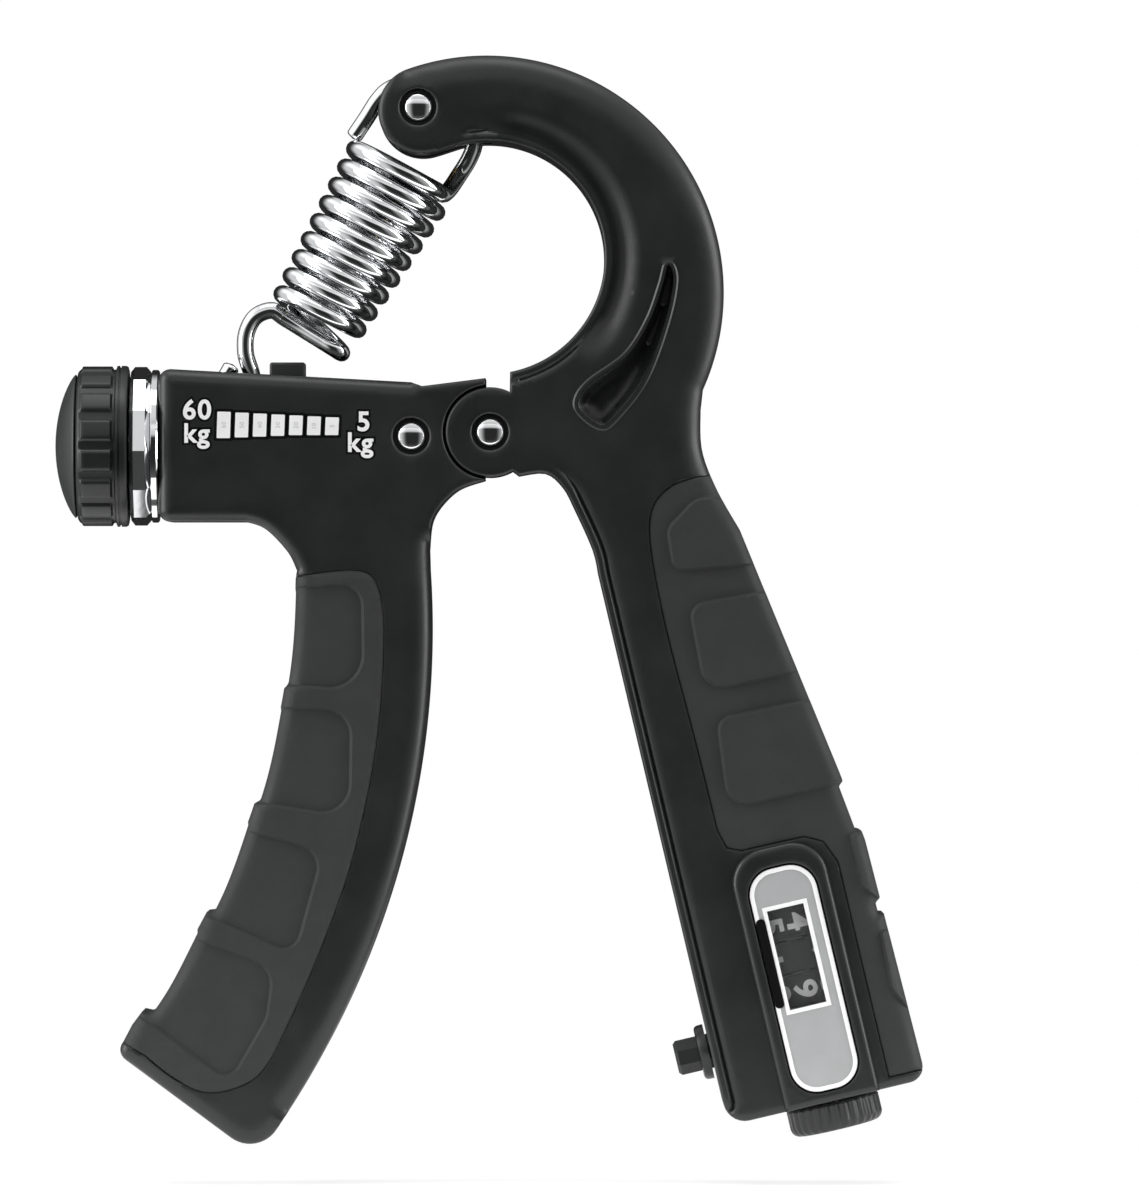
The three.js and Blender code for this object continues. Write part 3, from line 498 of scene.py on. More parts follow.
LOOKS = {
    "black_plastic": material("moulded_black", (0.0125, 0.0135, 0.0135), 0.36, grain=(0.35, 0.012),
                              patches=0.12, spread=0.05),
    "soft_grip": material("soft_grip_rubber", (0.0205, 0.0215, 0.0215), 0.66, grain=(0.22, 0.03),
                          patches=0.1, spread=0.06),
    "chrome": material("chrome_plate", (0.86, 0.87, 0.88), 0.07, 1.0, grain=(1.5, 0.002), spread=0.02),
    "steel": material("zinc_plated_steel", (0.47, 0.48, 0.5), 0.32, 1.0, grain=(0.4, 0.006),
                      patches=0.12, spread=0.06),
    "brass": material("turned_brass", (0.6, 0.43, 0.18), 0.3, 1.0, grain=(0.3, 0.006), patches=0.1,
                      spread=0.06),
    "faceplate": material("silver_plate", (0.4, 0.404, 0.408), 0.42, 0.0, grain=(0.25, 0.006),
                          patches=0.05, spread=0.04),
    "wheel_black": material("wheel_black_plastic", (0.006, 0.006, 0.006), 0.7, grain=(0.3, 0.01),
                            patches=0.15, spread=0.05, Specular_IOR_Level=0.2),
    "nylon": material("natural_nylon", (0.62, 0.59, 0.5), 0.5, grain=(0.3, 0.01), patches=0.06, spread=0.05),
    "lens": material("window_clear", (0.9, 0.92, 0.93), 0.04, grain=(4, 0.002), Alpha=0.03,
                     Specular_IOR_Level=0.15),
    "white": material("printed_white", (0.9, 0.9, 0.9), 0.55, grain=(0.2, 0.004), patches=0.04),
    "ink": material("printed_black", (0.003, 0.003, 0.003), 0.8, grain=(0.2, 0.004), patches=0.1,
                    Specular_IOR_Level=0.1),
    "grey": material("printed_grey", (0.55, 0.55, 0.55), 0.55, grain=(0.2, 0.004), patches=0.06),
    # the faceplate's bevelled rims are coloured near white: a painted highlight standing for light glancing
    # off polished silver edges
    "painted_highlight_rim": material("plate_rim_painted_highlight", (0.93, 0.93, 0.93), 0.3, grain=(0.4, 0.004), patches=0.03),
    "cap": material("cap_black", (0.03, 0.032, 0.032), 0.42, grain=(0.3, 0.012), patches=0.1, spread=0.05),
}


# ---------------------------------------------------------------- outlines
def inner_edge_x(z):
    return 10.98 - 0.2361 * z


def palm_edge_x(z):
    return 30.83 - 0.4114 * z


def heel_edge_x(z):
    return 39.78 - 0.2568 * z


crotch = smooth([(4.2, -6.4), (8.1, -6.0), (10.7, -8.1), (12.5, -11.5), (15.1, -17.3),
                 (inner_edge_x(-21), -21)], 20)
shoulder = smooth([(palm_edge_x(-14.4), -14.4), (33.4, -8.5), (31.2, -2.65), (31.0, 3.2)], 16)
toe = corner((inner_edge_x(-60), -60), TOE, HEEL, 3.2)
heel = corner(TOE, HEEL, (heel_edge_x(-60), -60), 2.4)
hook_arc_out = arc(ARM_OUT, ARM_OUT_R, -24.2, 109.5, 90)
hook_boss = arc(HOOK_END, HOOK_END_R, 118, 288, 36)
hook_arc_in = arc(ARM_IN, ARM_IN_R, 104, -79, 72)
hook_outline = dense(line(
    arc((0, 0), HUB_R, 63.9, 300, 48), crotch, toe, heel, (heel_edge_x(-60), -60), (palm_edge_x(-50), -50),
    shoulder, hook_arc_out, hook_boss, hook_arc_in))


def palm_zone(grow):
    side = smooth([(32.5, -6.6), (26.6, -8.3), (23.7, -13.5), (25.6, -26.6), (30.7, -46.5),
                   (33.6, -58.4)], 40)
    strip = from_counter([(-6.4, 21.4), (-4.6, 20.6), (4.9, 20.5), (7.6, 19.1), (9.1, 15.5), (9.1, -17.0),
                          (22, -17.0)])
    return dense(line(offset(line((60, -6.6), side, strip), -grow), (75, -60)))


def palm_core(grow):
    back = SKIN + GAP - grow
    return dense([(15 - (grow > 0), -3), (palm_edge_x(-8) - back, -8), (palm_edge_x(-50) - back, -50),
                  (heel_edge_x(-60) - back, -60), (heel_edge_x(-105) - back, -105), (15 - (grow > 0), -105)])


def finger_edge(steps):
    """The finger side: from each low rib the surface falls away slowly, down to the next rib."""
    a = np.linspace(RIB_START, RIB_START + 4.05 * RIB_STEP, steps + 1)
    place = (a - RIB_START) / RIB_STEP
    rise = np.zeros_like(a)
    for k, height in enumerate(RIB_HEIGHTS):
        away = (place - k) * abs(RIB_STEP) * FINGER_R * math.pi / 180
        bump = height * (1 - ease((np.abs(away) - 1.5) / 0.7))
        slope = 0.75 * height * (1 - ease(away / 14)) * (away > 0)
        rise = np.maximum(rise, np.maximum(bump, slope))
    r = FINGER_R - rise
    a = np.radians(a)
    return np.column_stack([FINGER_ARC[0] + r * np.cos(a), FINGER_ARC[1] + r * np.sin(a)])


barrel_left, barrel_top, barrel_bottom = BARREL["left"], BARREL["top"], BARREL["bottom"]
lever_barrel = line(
    (-11.6, 7.35), corner((0, barrel_top + 0.6), (barrel_left, barrel_top), (barrel_left, 0), 1.8),
    corner((barrel_left, 0), (barrel_left, barrel_bottom), (0, barrel_bottom), 1.8),
    smooth([(-36.0, barrel_bottom), (-33.0, -14.3), (-29.8, -17.6), (-28.4, -20.4)], 16))
lever_foot = line(
    corner((-52.5, -87.9), (-55.2, -91.2), (-34.1, -106.8), 1.8),
    corner((-55.2, -91.2), (-34.1, -106.8), (-29.4, -99.5), 4.7, 12))
lever_back = line(
    arc(LEVER_ARC, LEVER_R, -32.9, 3.8, 70),
    smooth([(-8.97, -17.35), (-8.3, -12.6), (-5.0, -8.7), (-0.74, -7.06)], 20))
tongue_edge = line(
    arc((0, 0), HUB_R - 0.4, -96, 0, 24), arc((0, 0), 9.0, 0, 20, 6), arc((0, 0), HUB_R - 0.4, 20, 96, 20))
lever_outline = dense(line(
    lever_barrel, finger_edge(150), lever_foot, lever_back, tongue_edge, (-0.66, 7.94), (-10.0, 6.76)))


def finger_zone(grow):
    side = [(-28.0, -21.4), (-19.3, -20.7), (-16.6, -23.4), (-15.9, -31), (-17.0, -46), (-20.3, -61.9),
            (-24.5, -74.2), (-29.8, -86.6), (-33.6, -93.6), (-37.6, -96.2), (-42.2, -96.7), (-46.5, -94.6),
            (-50.6, -91.4)]
    return dense(offset(line((-60, -21.4), smooth(side, 60), (-60, -86)), grow))


def finger_core(extra):
    return dense(line(arc(FINGER_ARC, FINGER_R + SKIN + extra, 6, -52, 60), (30, -110), (30, 20)))


# recessed panels of the finger side, from the top, as (x, z, corner radius); each is open at the edge
FINGER_PANELS = [
    [(-36, -23.2, 1), (-18.6, -21.9, 3.4), (-18.4, -38.3, 5.2), (-37, -36.9, 1)],
    [(-37, -40.3, 1), (-20.2, -40.5, 4.2), (-20.4, -56.9, 4.4), (-41, -53.6, 1)],
    [(-41, -57.0, 1), (-24.2, -61.4, 3.8), (-28.6, -77.2, 2.8), (-48, -68.6, 1)],
    [(-49, -72.1, 1), (-31.6, -78.6, 4.0), (-32.6, -86.2, 5.0), (-38.2, -95.9, 2.6), (-56, -83.0, 1)],
]
# raised pads of the palm side, from the top, in the same way; each runs over the palm edge
PALM_PADS = [
    [(42, -9.4, 1), (30.2, -9.6, 3.6), (25.9, -14.2, 2.6), (26.9, -20.6, 2.0), (46, -19.0, 1)],
    [(50, -21.6, 1), (29.1, -25.3, 2.4), (31.6, -38.4, 3.4), (54, -33.4, 1)],
    [(57, -37.2, 1), (33.2, -42.0, 2.4), (35.0, -55.7, 3.4), (61, -49.4, 1)],
    [(60, -57.4, 1), (52.8, -58.7, 0.8), (54.6, -67.0, 2.0), (57.2, -68.9, 1.2), (66, -66.4, 1)],
    [(66, -71.5, 1), (57.3, -73.2, 0.8), (58.9, -82.0, 2.0), (61.8, -85.4, 1.2), (70, -83.0, 1)],
]


def patch(corners):
    n = len(corners)
    return dense(line(*[corner(corners[i - 1][:2], corners[i][:2], corners[(i + 1) % n][:2], corners[i][2], 9)
                        for i in range(n)]))


finger_panels = [patch(corners[::-1]) for corners in FINGER_PANELS]
palm_pads = [patch(corners) for corners in PALM_PADS]


def stepped(outline, step=0.8):
    """The hook outline, drawn in a little between the pads along the palm edge."""
    on_pad = np.max([ease((depth(outline, pad) + 0.35) / 0.7) for pad in palm_pads], axis=0)
    palm = outline[:, 0] > palm_edge_x(outline[:, 1]) - 2
    palm &= (outline[:, 1] < -7.5) & (outline[:, 0] > heel_edge_x(outline[:, 1]) - 2)
    fade = ease((-7.5 - outline[:, 1]) / 1.5) * ease((outline[:, 1] + 92) / 4)
    move = np.where(palm, step * (1 - on_pad) * fade, 0)
    ahead = np.roll(outline, -1, axis=0) - np.roll(outline, 1, axis=0)
    left = np.column_stack([-ahead[:, 1], ahead[:, 0]])
    return outline + move[:, None] * left / np.linalg.norm(left, axis=1)[:, None]


teardrop = dense(smooth([
    (26.2, 24.6), (25.3, 21.5), (23.4, 16.3), (20.1, 11.2), (14.7, 7.2), (12.9, 4.6), (13.6, 2.7),
    (16.3, 0.9), (18.3, 2.1), (22.6, 7.7), (25.7, 15.9), (27.0, 22.2)], 90, closed=True))
pod_outline = from_counter(dense(line(
    (-POD["x"], POD["bottom"]), (POD["x"], POD["bottom"]),
    corner((POD["x"], 0), (POD["x"], POD["top"]), (0, POD["top"]), POD["corner"], 12),
    corner((0, POD["top"]), (-POD["x"], POD["top"]), (-POD["x"], 0), POD["corner"], 12))))


def face_outline(grow):
    return dense(rounded_box(-FACE["x"] - grow, FACE["x"] + grow, -FACE["z"] - grow, FACE["z"] + grow,
                             FACE["corner"] + grow, 10))


def window_outline(grow):
    w = WINDOW
    return dense([(w["x"] - w["half_x"] - grow, w["z"] - w["half_z"] - grow),
                  (w["x"] + w["half_x"] + grow, w["z"] - w["half_z"] - grow),
                  (w["x"] + w["half_x"] + grow, w["z"] + w["half_z"] + grow),
                  (w["x"] - w["half_x"] - grow, w["z"] + w["half_z"] + grow)])


def loop_room(swing):
    side = arc((0, 0), 1, 0, 180, 24) * [LOOP["across"] + WIRE_R + 0.35, LOOP["rise"] + WIRE_R + 0.35]
    side = side + [LOOP["side"], LOOP["along"]]
    low = LOOP["along"] - 16
    side = line(side, (side[-1][0], low), (side[0][0], low))
    xz = np.array([spring_point(s, t)[[0, 2]] for s, t in side]) - SPRING_RIVET
    return dense(turn_by(xz, swing) + SPRING_RIVET)


spring_up = np.array(SPRING_RIVET) - HOOK_PIN
spring_up = spring_up / np.linalg.norm(spring_up)


def spring_point(across, along, y=0.0):
    """A point on the spring: along its centre line, upwards from its rivet, and across it."""
    return np.array([SPRING_RIVET[0] + along * spring_up[0] - across * spring_up[1], y,
                     SPRING_RIVET[1] + along * spring_up[1] + across * spring_up[0]])


# ---------------------------------------------------------------- hook handle
def circle(centre, r, steps=None):
    steps = steps or max(24, int(2 * math.pi * r / LINE))
    return arc(centre, r, 0, 360, steps)[:-1]


hook_inner = dense(line(hook_arc_in, (arc((0, 0), HUB_R, 63.9, 64, 1)[0])), closed=False)
hook_straight = dense(line(crotch, toe[0]), closed=False)
hook_soft = dense(line(shoulder, hook_arc_out), closed=False)
hook_bottom = dense(line(toe, heel, (heel_edge_x(-60), -60)), closed=False)
HOOK_SCREW_PLACES = [*HOOK_SCREWS, *[tuple(p) for p in from_counter(COUNTER_SCREWS)]]
TONGUE_ROOMS = [
    dense(circle((0, 0), SEAM)), dense([(-9, -9), (4.1, -9), (4.1, -4), (-9, -4)]),
    dense(line((0, 0), arc((0, 0), 9.4, -2.2, 56, 12)))]
LOOP_ROOMS = [loop_room(swing) for swing in (-4, 8, 20)]
cavity_outline = from_counter(dense(rounded_box(
    CAVITY["left"], CAVITY["right"], CAVITY["bottom"], CAVITY["top"], 1.5)))
face_gap = from_counter(face_outline(GAP))
window_hole = from_counter(dense([(-3.9, -5.0), (3.3, -5.0), (3.3, 11.6), (-3.9, 11.6)]))


def well_drop(p, at, well, seat):
    """Depth of a rivet or screw well below the face, with a narrow chamfer round it."""
    r = np.hypot(p[:, 0] - at[0], p[:, 1] - at[1])
    return np.where(r < well, HALF - seat, drop(r - well, 0.4, 0.35))


WELL_RINGS = [-HAIR, HAIR, -0.04, -0.16, -0.4]


def hook_cells(front):
    cells = Cells()
    cells.follow(hook_outline, [0, 0.08, 0.2, 0.5])
    cells.follow(hook_soft, [0.9, 1.6, 2.4, 3.4, 4.5], closed=False)
    cells.follow(dense(hook_boss, False), [0.3, 0.8, 1.2], closed=False)
    cells.follow(hook_bottom, [0.8, 1.1], closed=False)
    for path in (hook_inner[::-1], hook_straight[::-1]):
        cells.follow(path, [-0.35, -1.0, -1.2, -1.45, -1.75, -2.0, -2.6], closed=False)
    cells.follow(arc(ARM_IN, ARM_IN_R, 100, -50, 60), [3.2, 3.8, 4.4, 5.0, 5.6], closed=False)
    for at in ((0, 0), SPRING_RIVET):
        cells.follow(circle(at, RIVET["shank"] + 0.1))
        cells.follow(circle(at, RIVET["well"]), WELL_RINGS)
    cells.follow(palm_zone(GAP), [0, 0.2, -0.1, -0.3])
    cells.follow(palm_core(0))
    cells.follow(teardrop, [-0.7, -0.45, -0.2, 0, 0.12, 0.5, 1.0])
    for room in [*TONGUE_ROOMS, *LOOP_ROOMS, cavity_outline]:
        cells.follow(room, [-HAIR, HAIR])
    if front:
        cells.follow(pod_outline, [-HAIR, 0, 0.1, 0.25, 0.5, 0.9])
        cells.follow(face_gap, [-HAIR, HAIR, -0.15])
        cells.follow(window_hole)
    else:
        for at in HOOK_SCREW_PLACES:
            cells.follow(circle(at, SCREW["well"]), WELL_RINGS)
    return cells


def hook_domain(front):
    def domain(p):
        keep = inside(p, hook_outline) & (~inside(p, palm_zone(GAP)) | inside(p, palm_core(0)))
        for at in ((0, 0), SPRING_RIVET):
            keep &= np.hypot(p[:, 0] - at[0], p[:, 1] - at[1]) > RIVET["shank"] + 0.1 - 0.01
        return keep & ~inside(p, window_hole) if front else keep

    return domain


def hook_face(front):
    def face(p):
        rim_drop = drop(distance(p, hook_outline), 0.5, 0.5)
        rim_drop = np.maximum(rim_drop, drop(distance(p, hook_soft, False), 4.5, 2.6))
        rim_drop = np.maximum(rim_drop, drop(distance(p, hook_boss, False), 1.2, 1.0))
        rim_drop = np.maximum(rim_drop, drop(distance(p, hook_bottom, False), 1.1, 0.9))
        # lip along the inner edges, and the broad channel round the arm
        about = p - ARM_IN
        angle = np.degrees(np.arctan2(about[:, 1], about[:, 0]))
        on_arm = np.hypot(*about.T) - ARM_IN_R
        lip_on = ease((angle + 88) / 10) * ease((103 - angle) / 6)
        channel_on = ease((angle + 50) / 24) * ease((98 - angle) / 24)
        groove = 0.42 * np.exp(-(((on_arm - 1.42) / 0.3) ** 2)) * lip_on
        past_lip = ease((on_arm - 1.05) / 0.35)
        channel = 1.5 * past_lip * (1 - ease((on_arm - 1.9) / 3.7)) * channel_on
        from_edge = distance(p, hook_straight, False)
        past_hub = ease((p[:, 0] - 9) / 5)
        groove = np.maximum(groove, 0.32 * past_hub * np.exp(-(((from_edge - 1.45) / 0.2) ** 2)))
        beside_groove = ease((from_edge - 1.1) / 0.3) * (1 - ease((from_edge - 1.3) / 1.6))
        rounded_shoulder = 0.4 * past_hub * beside_groove
        height = HALF - rim_drop - np.maximum(groove, channel) - rounded_shoulder
        # blind teardrop with a thin raised rim
        well = depth(p, teardrop)
        height += 0.22 * ease((well + 0.7) / 0.3) * ease((0.1 - well) / 0.1)
        height -= np.where(well > 0.06, 2.0 + 1.2 * ease(well / 1.6), 0)
        for at in ((0, 0), SPRING_RIVET):
            height -= well_drop(p, at, RIVET["well"], RIVET["seat"])
        zone = depth(p, palm_zone(GAP))
        height = np.where(zone > 0.001, UNDER - 0.05, height - drop(-zone, 0.3, 0.25))
        if front:
            pod = depth(p, pod_outline)
            height = np.where(pod >= -0.001, POD["front"] - drop(pod, 0.9, 0.85), height)
            plate = depth(p, face_gap)
            height = np.where(plate > 0, 9.9, height - drop(-plate, 0.2, 0.15))
        else:
            for at in HOOK_SCREW_PLACES:
                height -= well_drop(p, at, SCREW["well"], SCREW["seat"])
        return height

    return face


def hook_back(p):
    """Depth of the rooms inside the hook shells, from the parting plane."""
    room = 0.15 * (1 - ease(distance(p, hook_outline) / 0.2))
    for loop in LOOP_ROOMS:
        room = np.where(inside(p, loop), SPRING_SLOT, room)
    for loop in TONGUE_ROOMS:
        room = np.where(inside(p, loop), CHEEK, room)
    local = to_counter(p)
    room = np.where(inside(p, cavity_outline), CAVITY["half"], room)
    bore = PLUNGER["r"] + 0.35
    beside = np.clip(1 - ((local[:, 1] - PLUNGER["z"]) / bore) ** 2, 0, 1)
    in_bore = (local[:, 0] < CAVITY["left"] + 1) & (local[:, 1] > -12) & (local[:, 1] < -3)
    room = np.where(in_bore, np.maximum(room, bore * np.sqrt(beside)), room)
    in_shaft = (np.abs(local[:, 0]) < 1.5) & (local[:, 1] < CAVITY["bottom"] + 1) & (local[:, 1] > -25)
    return np.where(in_shaft, np.maximum(room, 3.5), room)


for side in ("front", "rear"):
    is_front = side == "front"
    shape = relief(hook_cells(is_front), hook_domain(is_front), hook_face(is_front), hook_back, not is_front)
    add_piece(f"hook_{side}", shape, "black_plastic", "hook_handle", [f"hook_{side}_shell"])

palm_outline = stepped(dense(hook_outline, step=0.35))


def palm_domain(p):
    return inside(p, palm_outline) & inside(p, palm_zone(SEAM_LINE))


def palm_face(p):
    edge = np.minimum(distance(p, palm_zone(SEAM_LINE)), 9)
    height = HALF - 0.25 - drop(edge, 0.3, 0.3)
    for pad in palm_pads:
        height += 0.8 * ease((depth(p, pad) + 0.02) / 0.42)
    return height - drop(distance(p, palm_outline), 2.2, 1.9)


def palm_cells():
    cells = Cells().follow(palm_outline, round_rings(2.2))
    cells.follow(palm_zone(SEAM_LINE), [0, 0.05, 0.15, 0.3])
    cells.follow(palm_core(GAP))
    for pad in palm_pads:
        cells.follow(pad, [-0.02, 0.06, 0.16, 0.28, 0.4])
    return cells


palm_skin = wrap(palm_cells(), palm_domain, lambda p: inside(p, palm_core(GAP)), palm_face, UNDER)
add_piece("palm_overmould", palm_skin, "soft_grip", "hook_handle", ["palm_grip"])

# ---------------------------------------------------------------- lever handle
barrel_axis = BARREL["axis"]


def barrel_top_z(x):
    return barrel_top + (x - barrel_left) * (7.35 - barrel_top) / (-11.6 - barrel_left)


barrel_room = dense([
    (barrel_left + 2.4, -7.8), (BARREL_END, -7.8), (BARREL_END, barrel_top_z(BARREL_END) - 1.6),
    (barrel_left + 2.4, barrel_top_z(barrel_left + 2.4) - 1.6)])
top_slot = dense([(-45.2, 3), (BARREL_END - 0.2, 3), (BARREL_END - 0.2, 12), (-45.2, 12)])
lever_soft = dense(lever_back[:-18], False)
barrel_edge = dense(lever_barrel, False)


def lever_cells(front):
    cells = Cells()
    cells.follow(lever_outline, [0, 0.08, 0.25, 0.6])
    cells.follow(barrel_edge, [1.0, 1.5, 2.2], closed=False)
    cells.follow(lever_soft, [1.0, 1.6, 2.3, 3.2], closed=False)
    cells.follow(dense(lever_foot, False), [1.0, 1.6, 2.2], closed=False)
    cells.follow(circle((0, 0), SEAM), [HAIR, -HAIR, -0.08, -0.2, -0.4])
    cells.follow(circle((0, 0), 2.7))
    cells.follow(circle(BARREL_RIVET, RIVET["shank"] + 0.1))
    cells.follow(circle(BARREL_RIVET, RIVET["well"]), WELL_RINGS)
    cells.follow(finger_zone(GAP), [0, 0.2, -0.1, -0.3])
    cells.follow(finger_core(GAP))
    for room in (barrel_room, top_slot):
        cells.follow(room, [-HAIR, HAIR])
    for z in barrel_axis + np.array([-2.15, -1.9, -1.2, 0, 1.2, 1.9, 2.15]):
        cells.follow(dense([(barrel_left - 1, z), (barrel_left + 3, z)], False), closed=False)
    if not front:
        for at in LEVER_SCREWS:
            cells.follow(circle(at, SCREW["well"]), WELL_RINGS)
    return cells


def lever_domain(p):
    keep = inside(p, lever_outline) & (~inside(p, finger_zone(GAP)) | inside(p, finger_core(GAP)))
    keep &= np.hypot(*p.T) > 2.69
    return keep & (np.hypot(p[:, 0] - BARREL_RIVET[0], p[:, 1] - BARREL_RIVET[1]) > RIVET["shank"] + 0.09)


def lever_face(front):
    def face(p):
        fall = drop(distance(p, lever_outline), 0.6, 0.5)
        fall = np.maximum(fall, drop(distance(p, barrel_edge, False), 2.2, 1.7))
        fall = np.maximum(fall, drop(distance(p, lever_soft, False), 3.2, 2.2))
        fall = np.maximum(fall, drop(distance(p, lever_foot, False), 2.2, 1.6))
        height = HALF - fall - well_drop(p, BARREL_RIVET, RIVET["well"], RIVET["seat"])
        zone = depth(p, finger_zone(GAP))
        height = np.where(zone > 0.001, UNDER - 0.05, height - drop(-zone, 0.3, 0.25))
        seam = np.hypot(*p.T) - SEAM
        height = np.where((seam < 0) | (p[:, 0] > 1), TONGUE, height - drop(seam, 0.4, 0.35))
        if not front:
            for at in LEVER_SCREWS:
                height -= well_drop(p, at, SCREW["well"], SCREW["seat"])
        return height

    return face


def lever_room(p):
    room = 0.15 * (1 - ease(distance(p, lever_outline) / 0.2)) * (np.hypot(*p.T) > 9)
    bore = SCREW_R + 0.15
    above = p[:, 1] - barrel_axis
    in_bore = (p[:, 0] < barrel_left + 2.5) & (np.abs(above) < bore)
    room = np.where(in_bore, bore * np.sqrt(np.clip(1 - (above / bore) ** 2, 0, 1)), room)
    in_bush = (p[:, 0] > BARREL_END) & (p[:, 0] < BARREL_END + 2.4) & (np.abs(above) < 3.4)
    room = np.where(in_bush, np.sqrt(np.clip(3.4**2 - above**2, 0, None)), room)
    room = np.where(inside(p, top_slot), POINTER["half"] + GAP, room)
    return np.where(inside(p, barrel_room), 8.3, room)


for side in ("front", "rear"):
    is_front = side == "front"
    shape = relief(lever_cells(is_front), lever_domain, lever_face(is_front), lever_room, not is_front)
    add_piece(f"lever_{side}", shape, "black_plastic", "lever_handle", [f"lever_{side}_shell"])


def finger_domain(p):
    return inside(p, lever_outline) & inside(p, finger_zone(SEAM_LINE))


def finger_face(p):
    height = HALF + 0.12 - drop(np.minimum(distance(p, finger_zone(SEAM_LINE)), 9), 0.35, 0.3)
    for panel in finger_panels:
        height -= 0.6 * ease((depth(p, panel) + 0.02) / 0.42)
    return height - drop(distance(p, lever_outline), 2.4, 2.1)


def finger_cells():
    cells = Cells().follow(lever_outline, round_rings(2.4))
    cells.follow(finger_zone(SEAM_LINE), [0, 0.05, 0.15, 0.35])
    cells.follow(finger_core(0))
    for panel in finger_panels:
        cells.follow(panel, [-0.02, 0.06, 0.16, 0.28, 0.4])
    return cells


finger_skin = wrap(finger_cells(), finger_domain, lambda p: inside(p, finger_core(0)), finger_face, UNDER)
add_piece("finger_overmould", finger_skin, "soft_grip", "lever_handle", ["finger_grip"])

# ---------------------------------------------------------------- printed scale
def lettering(text, centre, height, weight=0.0, low=HALF - 0.05, high=HALF + 0.04, turn=0.0):
    """Figures in relief on the front, as high as the plain figures would be; weight thickens them."""
    def outline(thicker):
        curve = bpy.data.curves.new("figures", "FONT")
        curve.body = text
        curve.offset = thicker
        curve.extrude = 0.5
        curve.space_character = 1.12
        curve.resolution_u = 5
        holder = bpy.data.objects.new("figures", curve)
        mesh = bpy.data.meshes.new_from_object(holder)
        co = np.array([v.co for v in mesh.vertices])
        faces = [list(p.vertices) for p in mesh.polygons]
        bpy.data.objects.remove(holder)
        return co, faces

    plain, _ = outline(0)
    lowest, highest = plain.min(0), plain.max(0)
    scale = height / (highest[1] - lowest[1])
    co, faces = outline(weight / scale)
    flat = (co[:, :2] - (lowest + highest)[:2] / 2) * scale
    x, z = (turn_by(flat, turn) + centre).T
    return np.column_stack([x, np.where(co[:, 2] > 0, -high, -low), z]), faces


def tablet(outline, low, high):
    """A flat raised area with the given outline."""
    cells = Cells().follow(outline)
    return relief(cells, lambda p: inside(p, outline), lambda p: np.full(len(p), high),
                  lambda p: np.full(len(p), low), spacing=3)


SCALE_LABELS = [("60", (-43.06, 3.3), 2.8), ("kg", (-43.06, -0.6), 3.6), ("5", (-18.6, 1.55), 2.75),
                ("kg", (-19.0, -1.95), 3.6)]
SCALE_STEPS = ["60", "50", "40", "30", "20", "10", "5"]
BOX_PITCH, BOX_WIDTH, BOX_LEAN = 2.653, 1.97, 0.12
white_parts, black_parts, grey_parts = [], [], []
for text, place, height in SCALE_LABELS:
    white_parts.append(lettering(text, place, height, 0.1, high=HALF + 0.05))
    black_parts.append(lettering(text, place, height, 0.42, high=HALF + 0.02))
for k, text in enumerate(SCALE_STEPS):
    left, top, bottom = -40.13 + BOX_PITCH * k, 3.0 - 0.137 * k, -0.9 + 0.11 * min(k, 4)
    box = [(left - BOX_LEAN / 2, bottom), (left + BOX_WIDTH - BOX_LEAN / 2, bottom),
           (left + BOX_WIDTH + BOX_LEAN / 2, top - 0.05), (left + BOX_LEAN / 2, top)]
    frame_line = [(x + (0.42 if i in (1, 2) else -0.42), z + (0.42 if i > 1 else -0.42))
                  for i, (x, z) in enumerate(box)]
    white_parts.append(tablet(rounded(box, 0.12, 3), HALF - 0.05, HALF + 0.05))
    black_parts.append(tablet(rounded(frame_line, 0.3, 4), HALF - 0.05, HALF + 0.02))
    middle = (left + BOX_WIDTH / 2, (top + bottom) / 2)
    grey_parts.append(lettering(text, middle, 0.62, 0.0, HALF, HALF + 0.07, 90))
add_piece("scale_white", merge(*white_parts), "white", "lever_handle", slot="black_plastic")
add_piece("scale_surround", merge(*black_parts), "ink", "lever_handle", slot="black_plastic")
add_piece("scale_marks", merge(*grey_parts), "grey", "lever_handle", slot="black_plastic")


# ---------------------------------------------------------------- rivets and screws
def rivet(at):
    r = RIVET
    dome = [(r["head"] * math.sin(a), r["seat"] + 0.25 + r["crown"] * math.cos(a))
            for a in np.linspace(0, math.pi / 2, 14)]
    upper = [*dome, (r["head"], r["seat"]), (r["shank"], r["seat"])]
    return turned([*upper, *[(q, -h) for q, h in upper[::-1]]], "y", (at[0], 0, at[1]), 48)


for name, at, body in (("pivot_rivet", (0, 0), "hook_handle"), ("spring_rivet", SPRING_RIVET, "hook_handle"),
                       ("barrel_rivet", BARREL_RIVET, "lever_handle")):
    add_piece(f"{name}_domed", rivet(at), "chrome", body, [name], crease=40)


